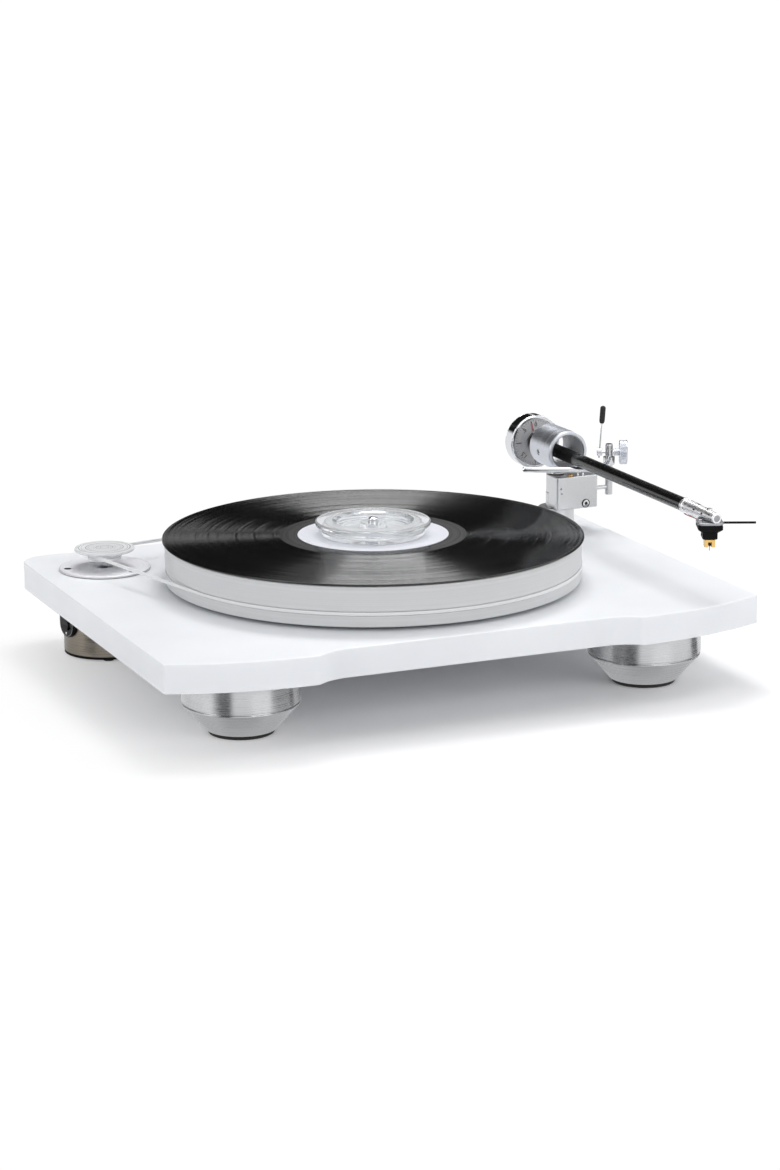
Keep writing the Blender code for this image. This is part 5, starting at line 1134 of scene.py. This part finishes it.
bearing = {
    "radius": 15.9, "bore": 12.6, "front": 20.0, "back": -14.5, "rise": 2.6, "lip": 1.1,
    "pivotHole": 2.1, "screwRadius": 1.6, "pointRadius": 0.4, "pointLength": 2.2, "reachIn": 5.3,
    "shaftRadius": 3.0, "collarRadius": 7.5, "collarHeight": 1.1, "leadRadius": 0.22,
}


def makeBearing(v):
    lip, reach = v.front - v.lip, v.pivotHole
    body = turned([
        (v.bore, v.back, 0.4), (v.radius, v.back, 0.7), (v.radius, lip, 0.25), (v.radius - 0.35, lip + 0.25, 0.1),
        (v.radius - 0.35, v.front, 0.4), (v.bore + 0.9, v.front, 0.3), (v.bore, v.front - 0.9, 0.4),
    ], 160, 4)
    ringAt = shift(armPivot.x, armPivot.y, armPivot.z + v.rise) @ turn(90, "X")
    pivots = []
    for side in (-1, 1):
        room = lathe([(0, 6), (reach, 6), (reach, 15.0), (reach + 0.7, 16.5), (0, 16.5)], 32)
        pivots.append(moved(room, shift(0, -v.rise, 0) @ turn(90 * side, "Y")))
    piece = makePiece("bearingRing", body, ringAluminium, "arm_bearing", "bearing_ring", ringAt, pivots)
    secondMaterial(piece, boredAluminium, lambda face: hypot(face.center.x, face.center.y) < (v.bore + 0.2) * mm)
    inner, outer = v.reachIn, (v.radius ** 2 - v.rise ** 2) ** 0.5 - 0.9
    for name, side in (("left", -1), ("right", 1)):
        at = shift(*armPivot) @ turn(90 * side, "Y")
        screw = turned([
            (0, inner), (v.pointRadius, inner, 0.1), (v.screwRadius, inner + v.pointLength, 0.2),
            (v.screwRadius, outer, 0.25), (0, outer),
        ], 32)
        socket = hexSocket(0.85, outer - 1.2, outer + 1)
        makePiece("pivotScrew_" + name, screw, steel, "arm_bearing", "pivot_screw_" + name, at, [socket])
        collar = band(1.62, 2.08, outer - 0.9, outer - 0.5, 32, (0, 0, 0.1, 0.1), 2)
        makePiece("pivotShadow_" + name, collar, paintedShade, "arm_bearing", "", at)
    low, high = [corner.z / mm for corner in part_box("pivot_shaft")]
    stem, collar, under = v.shaftRadius, v.collarRadius, armBase["blockHigh"] + 0.6
    shaft = turned([
        (0, low), (stem, low, 0.3), (stem, under), (collar, under, 0.4), (collar, under + v.collarHeight, 0.4),
        (stem + 0.4, high - 0.4, 0.4), (stem, high), (0, high),
    ], 64)
    makePiece("pivotShaft", shaft, steel, "arm_bearing", "pivot_shaft", atArm)
    # thin red lead low in the bore, from the tube down to the base
    way = [
        (1.2, -3.6, 14.5), (0.4, -5.5, 14.0), (-0.4, -7.6, 12.8),
        (-0.2, -9.1, 10.5), (0.0, -9.75, 6.0), (0.0, -9.75, 1.0),
    ]
    makePiece("ringLead", sweep(smoothPath(way), ring(v.leadRadius, 10)), redInk, "arm_bearing", "", ringAt)


makeBearing(SimpleNamespace(**bearing))


# arm tube, stub and counterweight

armTube = {
    "radius": 5.0, "bore": 4.2, "front": 205.0, "back": -8.0, "sleeveFront": 34.0, "sleeveStep": 0.12,
    "stubRadius": 3.9, "stubBack": -60.0, "stubFront": 4.0, "threadPitch": 1.0, "threadDepth": 0.35,
}
weight = {
    "start": 36.0, "radius": 20.8, "rim": 11.5, "taper": 7.0, "tail": 15.0, "hollow": 11.8, "hollowDepth": 12.8,
    "dialRadius": 18.0, "dialDrop": 0.3, "dialThickness": 1.6, "insert": 6.6, "stub": 4.2,
    "numbers": ("0", ".5", "1", "1.5", "2", "2.5", "3", "3.5"), "numberHeight": 3.2, "numberReach": 13.6,
    "ticks": 48, "ticksToOne": 6, "tickLong": 2.0, "tickShort": 1.2, "printLow": 0.01, "printHigh": 0.03,
    "indexAngle": 14,
}


def makeArmTube(v):
    radius = v.radius - v.sleeveStep
    tube = turned([
        (v.bore, v.back), (v.radius, v.back, 0.3), (v.radius, v.sleeveFront, 0.15),
        (radius, v.sleeveFront + 0.1), (radius, v.front, 0.2), (v.bore, v.front),
    ], 72)
    piece = makePiece("armTube", tube, carbon, "arm", "arm_tube", armAlong)
    secondMaterial(piece, mattBlack, lambda face: face.center.z < (v.sleeveFront + 0.05) * mm)
    stub = [(0, v.stubBack), (v.stubRadius - 0.7, v.stubBack)]
    z = v.stubBack + 0.5
    while z < v.back - 4:
        stub += [(v.stubRadius - v.threadDepth, z), (v.stubRadius, z + v.threadPitch / 2)]
        z += v.threadPitch
    stub += [(v.stubRadius, z), (v.stubRadius, v.stubFront), (0, v.stubFront)]
    makePiece("weightStub", lathe(stub, 48), steel, "arm", "weight_stub", armAlong)


def dialPrint(text, height, at):
    # a number as flat print, 0.04 mm thick
    curve = bpy.data.curves.new("number", "FONT")
    curve.body = text
    curve.size = height * mm * 1.4
    curve.align_x, curve.align_y = "CENTER", "CENTER"
    curve.extrude = 0.02 * mm
    curve.offset = 0.06 * mm
    source = bpy.data.objects.new("number", curve)
    bpy.context.scene.collection.objects.link(source)
    mesh = bpy.data.meshes.new_from_object(source.evaluated_get(bpy.context.evaluated_depsgraph_get()))
    bpy.data.objects.remove(source)
    bpy.data.curves.remove(curve)
    shape = bmesh.new()
    shape.from_mesh(mesh)
    bpy.data.meshes.remove(mesh)
    shape.transform(Matrix.Scale(1 / mm, 4))
    return moved(shape, at)


def makeWeight(v):
    weightAt = tiltFrame @ shift(0, v.start, 0) @ turn(90, "X")
    end, rim, bore, dialRoom, top = -v.rim - v.taper, -v.rim, v.insert + 0.3, v.dialRadius + 0.3, -v.dialDrop
    under, hollowFloor = top - v.dialThickness, end + v.hollowDepth
    body = turned([
        (bore, hollowFloor), (v.hollow, hollowFloor, 0.5), (v.hollow, end, 0.4), (v.tail, end, 0.8),
        (v.radius - 0.2, rim - 0.2, 0.5), (v.radius - 0.6, rim + 0.3, 0.2), (v.radius, rim + 0.8, 0.3),
        (v.radius, 0, 1.3), (dialRoom, 0, 0.3), (dialRoom, under - 0.3), (bore, under - 0.3),
    ], 160, 4)
    makePiece("counterweight", body, chrome, "weight", "counterweight", weightAt)
    dial = turned([
        (v.stub, under), (v.dialRadius, under), (v.dialRadius, top, 0.3),
        (v.stub + 3.4, top, 0.2), (v.stub + 3.0, top - 0.3, 0.2), (v.stub, top - 0.3, 0.1),
    ], 128)
    makePiece("weightDial", dial, dialAluminium, "weight", "weight_dial", weightAt)
    marks = []
    outer = v.dialRadius - 0.7
    for k in range(v.ticks):
        depth, wide = (v.tickShort, 0.14) if k % v.ticksToOne else (v.tickLong, 0.2)
        corners = [(outer - depth, -wide), (outer, -wide), (outer, wide), (outer - depth, wide)]
        marks.append(moved(plate(corners, top - v.printLow, top + v.printHigh), turn(360 * k / v.ticks + 90, "Z")))
    for k, number in enumerate(v.numbers):
        place = turn(360 * k / len(v.numbers) + 90, "Z") @ shift(v.numberReach, 0, top + v.printLow)
        marks.append(dialPrint(number, v.numberHeight, place @ turn(-90, "Z")))
    makePiece("dialPrint", joined(*marks), darkInk, "weight", "", weightAt, even=False)
    insert = band(v.stub, v.insert, end + 0.5, -2.5, 64, (0, 0.4, 0.2, 0))
    makePiece("weightInsert", insert, mattBlack, "weight_carrier", "weight_insert", weightAt)
    # index that stays with the arm: a dark clip round the stub with a red line up to the dial's figures
    clip = band(v.stub - 0.25, 6.4, 0.25, 1.5, 48, (0, 0.2, 0.3, 0.2))
    makePiece("indexClip", clip, mattBlack, "weight_carrier", "", weightAt)
    pointer = plate([(-0.3, 5.6), (0.3, 5.6), (0.25, 17.0), (-0.25, 17.0)], 0.25, 0.5)
    makePiece("indexLine", moved(pointer, turn(v.indexAngle, "Z")), redInk, "weight_carrier", "", weightAt)
    hand = plate(roundedBox(-1.5, 1.5, 6.2, 8.6, 0.5, 3), 0.4, 1.3, 0.25)
    makePiece("indexHolder", moved(hand, turn(v.indexAngle - 4, "Z")), steel, "weight_carrier", "", weightAt)


makeArmTube(SimpleNamespace(**armTube))
makeWeight(SimpleNamespace(**weight))
print("turntable: arm base, bearing and weight made")


# headshell and cartridge

head = {
    "reach": 239.3, "drop": 25.0, "offset": 23, "tubeFront": 205.0,
    "plateWidth": 18.1, "ahead": 6.5, "behind": 12.5, "plateThickness": 1.8, "corner": 4.4,
    "slotReach": 6.4, "slotAhead": 4.4, "boltAhead": 3.2, "boltStem": 0.8, "boltRadius": 1.6, "boltHeight": 1.0,
    "collarRadius": 5.5, "collarBore": 5.02, "collarLength": 1.2, "collarAhead": 3.6,
    "neckRoot": 5.2, "neckTip": 3.5, "neckRight": 4.2, "neckEnd": 0.6, "neckThickness": 3.4, "neckAhead": 4.2,
    # each patch of painted shade on the neck: share of the neck's length, turn round it in degrees, length and half
    # width
    "neckSlots": (
        (0.3, 14, 5.6, 0.85), (0.6, 14, 4.2, 0.8),
        (0.36, -70, 2.4, 0.6), (0.62, -76, 2.0, 0.7), (0.84, -60, 1.4, 0.5),
    ),
    "screwRadius": 2.0, "screwHead": 2.0, "screwTurn": 30,
    "cartridgeHeight": 10.2, "cartridgeWidth": 17.3, "cartridgeDepth": 18.0, "slabHeight": 2.9, "slopeHeight": 2.7,
    "footWidth": 10.5, "footDepth": 13.0, "generatorWidth": 7.6, "generatorDepth": 9.0, "generatorHeight": 5.4,
    "cantilever": 6.0, "stylus": 1.0, "finger": 22.2, "fingerRadius": 0.82,
    "pinRadius": 0.42, "pinSpace": 3.0, "leadRadius": 0.32,
    "leadColours": (("red", "#B3262A"), ("white", "#E8E8E6"), ("blue", "#2A4FA8"), ("green", "#2C7D45")),
}


def makeHead(v):
    headAt = tiltFrame @ shift(0, -v.reach, -v.drop) @ turn(-v.offset, "Z")
    low = v.stylus + v.generatorHeight + v.cartridgeHeight + v.cantilever * sin(radians(20)) + 0.6
    high, halfWide = low + v.plateThickness, v.plateWidth / 2
    shell = plate(roundedBox(-halfWide, halfWide, -v.ahead, v.behind, v.corner, 8), low, high, 0.6, 4, 0.3)
    slots = []
    for side in (-1, 1):
        slot = plate(roundedBox(-0.9, 0.9, -3.6, 3.6, 0.88, 4), low - 2, high + 2)
        slots.append(moved(slot, shift(side * v.slotReach, v.slotAhead, 0)))
    makePiece("headshellPlate", shell, greyAlloy, "arm", "headshell", headAt, slots)
    stem, rim, top = v.boltStem, v.boltRadius, high + v.boltHeight
    for i, side in ((1, -1), (2, 1)):
        screw = turned([
            (0, low - 1.5), (stem, low - 1.5), (stem, high), (rim, high, 0.15), (rim, top, 0.4), (0, top),
        ], 32)
        screwAt = headAt @ shift(side * v.slotReach, v.boltAhead, 0)
        makePiece("cartridgeScrew%d" % i, screw, steel, "arm", "", screwAt, [hexSocket(0.75, high + 0.4, high + 2)])
    makeNeck(v, headAt, high)
    makeCartridge(v, headAt, low - 0.3)
    middle, tip = (low + high) / 2, halfWide + v.finger
    path = [(x, 0, middle) for x in (halfWide + 0.3, halfWide + 0.3 + v.finger * 0.4, tip - 0.5, tip)]
    lift = sweep(smoothPath(path, 6), ring(v.fingerRadius, 16), scales=[1.0] * 17 + [0.9, 0.5])
    makePiece("fingerLift", lift, mattBlack, "arm", "finger_lift", headAt)
    makeLeads(v, headAt, low - 0.3)


def makeNeck(v, headAt, plateHigh):
    low, high = v.tubeFront - v.collarLength, v.tubeFront + v.collarAhead
    bore, radius, inner = v.collarBore, v.collarRadius, v.collarRadius - 0.4
    collar = turned([
        (bore, low, 0.02), (radius, low, 0.2), (radius, high - 1.9, 0.3), (inner, high - 1.5, 0.2),
        (inner, high, 0.5), (0, high), (0, v.tubeFront + 0.3), (bore, v.tubeFront + 0.3),
    ], 96, 4)
    makePiece("headshellCollar", collar, nickel, "arm", "", armAlong)
    # a round bar that tapers from the collar and ends in a flat face above the plate
    start = Vector((0, -high + 0.4, 0))
    end = tiltFrame.inverted() @ headAt @ Vector((v.neckRight, -v.ahead + v.neckEnd, plateHigh + v.neckTip - 0.4))
    along = end - start
    neckAt = tiltFrame @ Matrix.Translation(start) @ along.to_track_quat("Z", "Y").to_matrix().to_4x4()
    length, root, tip = along.length, v.neckRoot, v.neckTip
    slope = (root - tip) / length
    neck = turned([
        (0, 0), (root, 0, 0.3), (tip + slope * 1.6, length - 1.6, 0.2), (tip - 0.25, length - 1.2, 0.1),
        (tip - 0.25, length - 0.9, 0.1), (tip, length - 0.6, 0.2), (tip, length, 0.3),
        (tip - 0.8, length, 0.1), (tip - 0.9, length - 0.15, 0.05), (0, length - 0.15),
    ], 64, 4)
    makePiece("headshellNeck", neck, nickel, "arm", "", neckAt)
    face = rod(tip - 1.1, length - 0.3, length - 0.1, 48, (0, 0.1), 2)
    makePiece("headshellNeckFace", face, greyAlloy, "arm", "", neckAt)
    # painted shade: dark patches laid on the neck's upper side where its slots are, and lower down where its small
    # holes are
    straight = tiltFrame @ Matrix.Translation(start) @ turn(degrees(atan2(along.x, -along.y)), "Z")
    fall = degrees(atan2(-along.z, hypot(along.x, along.y)))
    taper = turn(degrees(atan2(slope, 1)), "X")
    for i, (share, side, long, wide) in enumerate(v.neckSlots, 1):
        radius = root + (tip - root) * share
        at = straight @ turn(fall, "X") @ shift(0, -length * share, 0) @ turn(side, "Y") @ taper
        edge = roundedBox(-wide, wide, -long / 2, long / 2, wide * 0.95, 5)
        makePiece("headshellSlotShade%d" % i, plate(edge, radius - 0.6, radius + 0.05, 0.04), paintedShade, "arm", "", at)
    low = plateHigh + v.neckThickness + 2.9
    high = low + v.screwHead
    screw = rod(v.screwRadius, low - 3, high, 48, (0, 0.35))
    screwAt = headAt @ shift(0, v.neckAhead, 0) @ turn(v.screwTurn, "Z")
    makePiece("headshellScrew", screw, steel, "arm", "headshell_screw", screwAt,
              [slotCut(4, 0.3, high - 0.7, high + 3)], sharp=25)


def makeCartridge(v, headAt, high):
    low, shoulder, foot = high - v.cartridgeHeight, high - v.slabHeight, high - v.slabHeight - v.slopeHeight
    middle = (v.behind - v.ahead) / 2
    bottom, slab = (v.footWidth, v.footDepth), (v.cartridgeWidth, v.cartridgeDepth)
    levels = []
    for z, (wide, deep), moreWide, moreDeep in (
        (low, bottom, -0.8, -0.8), (low + 0.4, bottom, 0, 0), (foot, bottom, 0, 0),
        (foot + 0.3, bottom, 0.5, 0.4), (shoulder - 0.2, slab, -0.4, -0.3), (shoulder + 0.2, slab, 0, 0),
        (high - 0.4, slab, 0, 0), (high, slab, -0.6, -0.6),
    ):
        halfWide, halfDeep = (wide + moreWide) / 2, (deep + moreDeep) / 2
        outline = roundedBox(-halfWide, halfWide, middle - halfDeep, middle + halfDeep, 1.0, 5)
        levels.append([(x, y, z) for x, y in outline])
    makePiece("cartridgeBody", skin(levels), mattBlack, "arm", "cartridge_body", headAt)
    top, base = low - 0.3, low - 0.3 - v.generatorHeight
    front, wide = middle - v.footDepth / 2 + 1.0, v.generatorWidth / 2
    block = plate(roundedBox(-wide, wide, front, front + v.generatorDepth, 0.7, 4), base, top, 0.35)
    notch = [(-1.5, front - 2), (1.5, front - 2), (0.9, front + 3.2), (-0.9, front + 3.2)]
    rooms = [plate(notch, base - 1, top - 1.6)]
    for x in (-2.6, 2.6):
        rooms.append(plate(roundedBox(x - 0.6, x + 0.6, front + 2.4, front + 6.4, 0.3, 2), base - 1, base + 1.2))
    makePiece("generatorFrame", block, gold, "arm", "cartridge_generator", headAt, rooms)
    damper = moved(rod(1.0, 0, 1.4, 24, (0.3, 0.3)), shift(0, front + 3.0, base + 1.6) @ turn(90, "X"))
    makePiece("stylusDamper", damper, rubber, "arm", "", headAt)
    needle = sweep([(0, front + 2.6, base + 1.5), (0, 0.05, v.stylus + 0.25)], ring(0.3, 12), scales=[1.0, 0.6])
    tip = lathe([(0, 0), (0.06, 0.08), (0.2, 0.5), (0.24, 1.3), (0, 1.35)], 16)
    makePiece("cantilever", joined(needle, moved(tip, shift(0, 0.1, 0))), stylusMetal, "arm", "stylus", headAt)


def makeLeads(v, headAt, high):
    # four fine leads from the tube's end to the pins behind the cartridge
    toHead = tiltFrame.inverted() @ headAt
    inHead = toHead.inverted()
    back, tube = (v.behind - v.ahead) / 2 + v.cartridgeDepth / 2, -v.tubeFront
    for k, (name, colour) in enumerate(v.leadColours):
        row, place = k % 2, k - 1.5
        x, z = place * v.pinSpace, high - 2.2 - row * 1.6
        pinAt = shift(x, back, z) @ turn(-90, "X")
        makePiece("pin_" + name, rod(v.pinRadius, -0.5, 2.4, 16, (0, 0.2)), gold, "arm", "", headAt @ pinAt)
        sleeve = turned([(0, 1.2), (0.7, 1.2, 0.15), (0.6, 4.4, 0.2), (0, 4.4)], 16)
        way = [toHead @ Vector((x, back + 4.2, z)), toHead @ Vector((x, back + 6.4, z + 0.6 + 0.5 * row)),
               Vector((place * 1.1, tube - 3.4, -5.6 - 0.7 * row)), Vector((place * 0.9, tube + 0.6, -5.2))]
        wire = sweep([inHead @ point for point in smoothPath(way)], ring(v.leadRadius, 10))
        insulation = enamel("leadInsulation_" + name, colour, 0.45)
        makePiece("lead_" + name, joined(wire, moved(sleeve, pinAt)), insulation, "arm", "", headAt)


makeHead(SimpleNamespace(**head))
print("turntable: headshell and cartridge made")


# arm lift

lift = {
    "angle": -25, "postRadius": 2.9, "postLow": 86.6, "postHigh": 126.0, "postPlace": (214.51, 85.65),
    "studRadius": 1.6, "studHeight": 92.6, "capRadius": 2.2, "shaftRoom": 1.5,
    "barHeight": 115.33, "barRadius": 2.1, "ahead": 34.0, "left": 26.0, "right": 25.0, "bow": 1.2,
    "sleeveRadius": 4.6, "sleeveAbove": 0.7, "sleeveBelow": 5.3, "shaftRadius": 1.2,
    "bossLeft": -7.3, "bossRadius": 3.1, "bossLength": 4.0, "rodRadius": 0.6, "rodTail": 4.5, "lean": 4,
    "gripStart": 22.4, "gripLength": 13.6, "gripRadius": 2.1,
    "knobRight": 10.8, "knobRadius": 9.3, "knobThickness": 6.2, "knobNeck": 2.7, "knurls": 48, "knurlDepth": 0.45,
}


def makeLift(v):
    x, y = v.postPlace
    radius, low, high = v.postRadius, v.postLow, v.postHigh
    post = turned([
        (0, low), (radius, low, 0.5), (radius, high - 0.9, 0.2),
        (radius - 0.2, high - 0.8, 0.1), (radius - 0.2, high, 0.3), (0, high),
    ], 64)
    stub = moved(rod(v.studRadius, -x + armPivot.x + 22, 0, 32), shift(0, 0, v.studHeight) @ turn(90, "Y"))
    along = turn(v.angle, "Z") @ turn(90, "Y")
    shaftRoom = moved(rod(v.shaftRoom, -8, 8, 32), shift(0, 0, liftShaft.z) @ along)
    makePiece("liftPost", joined(post, stub), blastedAluminium, "arm_base", "lift_post", shift(x, y), [shaftRoom])
    # painted shade: a thin dark disc on the post's top, standing in for a shaded recess there
    cap = turned([(0, high - 0.05), (v.capRadius, high - 0.05), (v.capRadius, high, 0.02), (0, high)], 32, 2)
    makePiece("postTopShade", cap, paintedShade, "arm_base", "", shift(x, y))

    # the bar passes under the arm, then bends back to the post
    direction = Vector((cos(radians(v.angle)), sin(radians(v.angle)), 0))
    ahead = Vector((direction.y, -direction.x, 0))
    centre = Vector((armPivot.x, armPivot.y, v.barHeight)) + ahead * v.ahead
    post = Vector((x, y, v.barHeight))
    bend = centre + direction * (v.right + v.bow * 6)
    path = smoothPath([
        centre - direction * v.left - ahead * v.bow, centre - direction * v.left / 2, centre,
        centre + direction * v.right * 0.7 - ahead * v.bow / 2, bend - ahead * v.bow * 4,
        (bend + post) / 2 + direction * v.bow, post - (post - bend).normalized() * (radius + v.barRadius / 2),
    ], 10)
    bar = sweep(path, ring(v.barRadius, 28), scales=[0.72, 0.94] + [1.0] * (len(path) - 2))
    low, high = v.barHeight - v.sleeveBelow, v.barHeight + v.sleeveAbove
    sleeve = moved(band(radius + 0.3, v.sleeveRadius, low, high, 64, (0.2, 0.5, 0.5, 0.2)), shift(x, y))
    makePiece("liftBar", joined(bar, sleeve), steel, "lift", "lift_bar")

    leverAt = shift(*liftShaft) @ along
    low, high = v.bossLeft - v.bossLength / 2, v.bossLeft + v.bossLength / 2
    boss = turned([
        (0, low + 0.5), (1.7, low + 0.5, 0.2), (1.9, low, 0.2), (v.bossRadius, low, 0.4),
        (v.bossRadius, high, 0.4), (v.shaftRadius, high), (v.shaftRadius, v.knobRight), (0, v.knobRight),
    ], 64)
    rodAt = shift(0, 0, v.bossLeft) @ turn(-90 + v.lean, "Y")
    rodEnd = v.gripStart + v.gripLength * 0.7
    leverRod = moved(rod(v.rodRadius, -v.rodTail, rodEnd, 20, (0.2, 0), 2), rodAt)
    makePiece("liftLever", joined(boss, leverRod), steel, "lift_handle", "lift_lever", leverAt)
    # painted shade: a dark disc in the recess at the end of the lever's boss
    face = rod(1.7, low + 0.3, low + 0.55, 32, (0.1, 0), 2)
    makePiece("leverBossRecessShade", face, paintedShade, "lift_handle", "", leverAt)
    inner, low, high = v.rodRadius + 0.05, v.gripStart, v.gripStart + v.gripLength
    grip = turned([
        (inner, low), (v.gripRadius - 0.7, low, 0.3), (v.gripRadius, low + 1.6, 0.8), (v.gripRadius, high - 1.0, 0.9),
        (0.9, high, 0.5), (0, high), (0, rodEnd + 0.3), (inner, rodEnd + 0.3),
    ], 32, 4)
    makePiece("leverGrip", grip, rubber, "lift_handle", "lift_grip", leverAt @ rodAt)

    # knob with a knurled rim between two plain lips
    low, high = v.knobRight - v.knobThickness / 2, v.knobRight + v.knobThickness / 2
    rim, deep = v.knobRadius, v.knurlDepth
    rings = []
    for radius, z, depth in (
        (rim - 0.6, low, 0), (rim, low + 0.5, 0), (rim, low + 0.9, 0), (rim, low + 1.2, deep),
        (rim, high - 1.2, deep), (rim, high - 0.9, 0), (rim, high - 0.5, 0), (rim - 0.6, high, 0),
        (rim - 3.0, high, 0), (rim - 3.3, high - 0.35, 0), (v.shaftRadius, high - 0.35, 0),
    ):
        edge = []
        for k in range(v.knurls * 4):
            angle, reach = 2 * pi * k / (v.knurls * 4), radius - depth * (k % 4 in (1, 2))
            edge.append((reach * cos(angle), reach * sin(angle), z))
        rings.append(edge)
    neck = band(v.shaftRoom, v.knobNeck, v.postRadius + 0.6, low + 0.1, 48, (0, 0.3, 0, 0))
    makePiece("liftKnob", joined(skin(rings), neck), ringAluminium, "lift_handle", "lift_knob", leverAt,
              sharp=25)


makeLift(SimpleNamespace(**lift))
print("turntable: arm lift made")
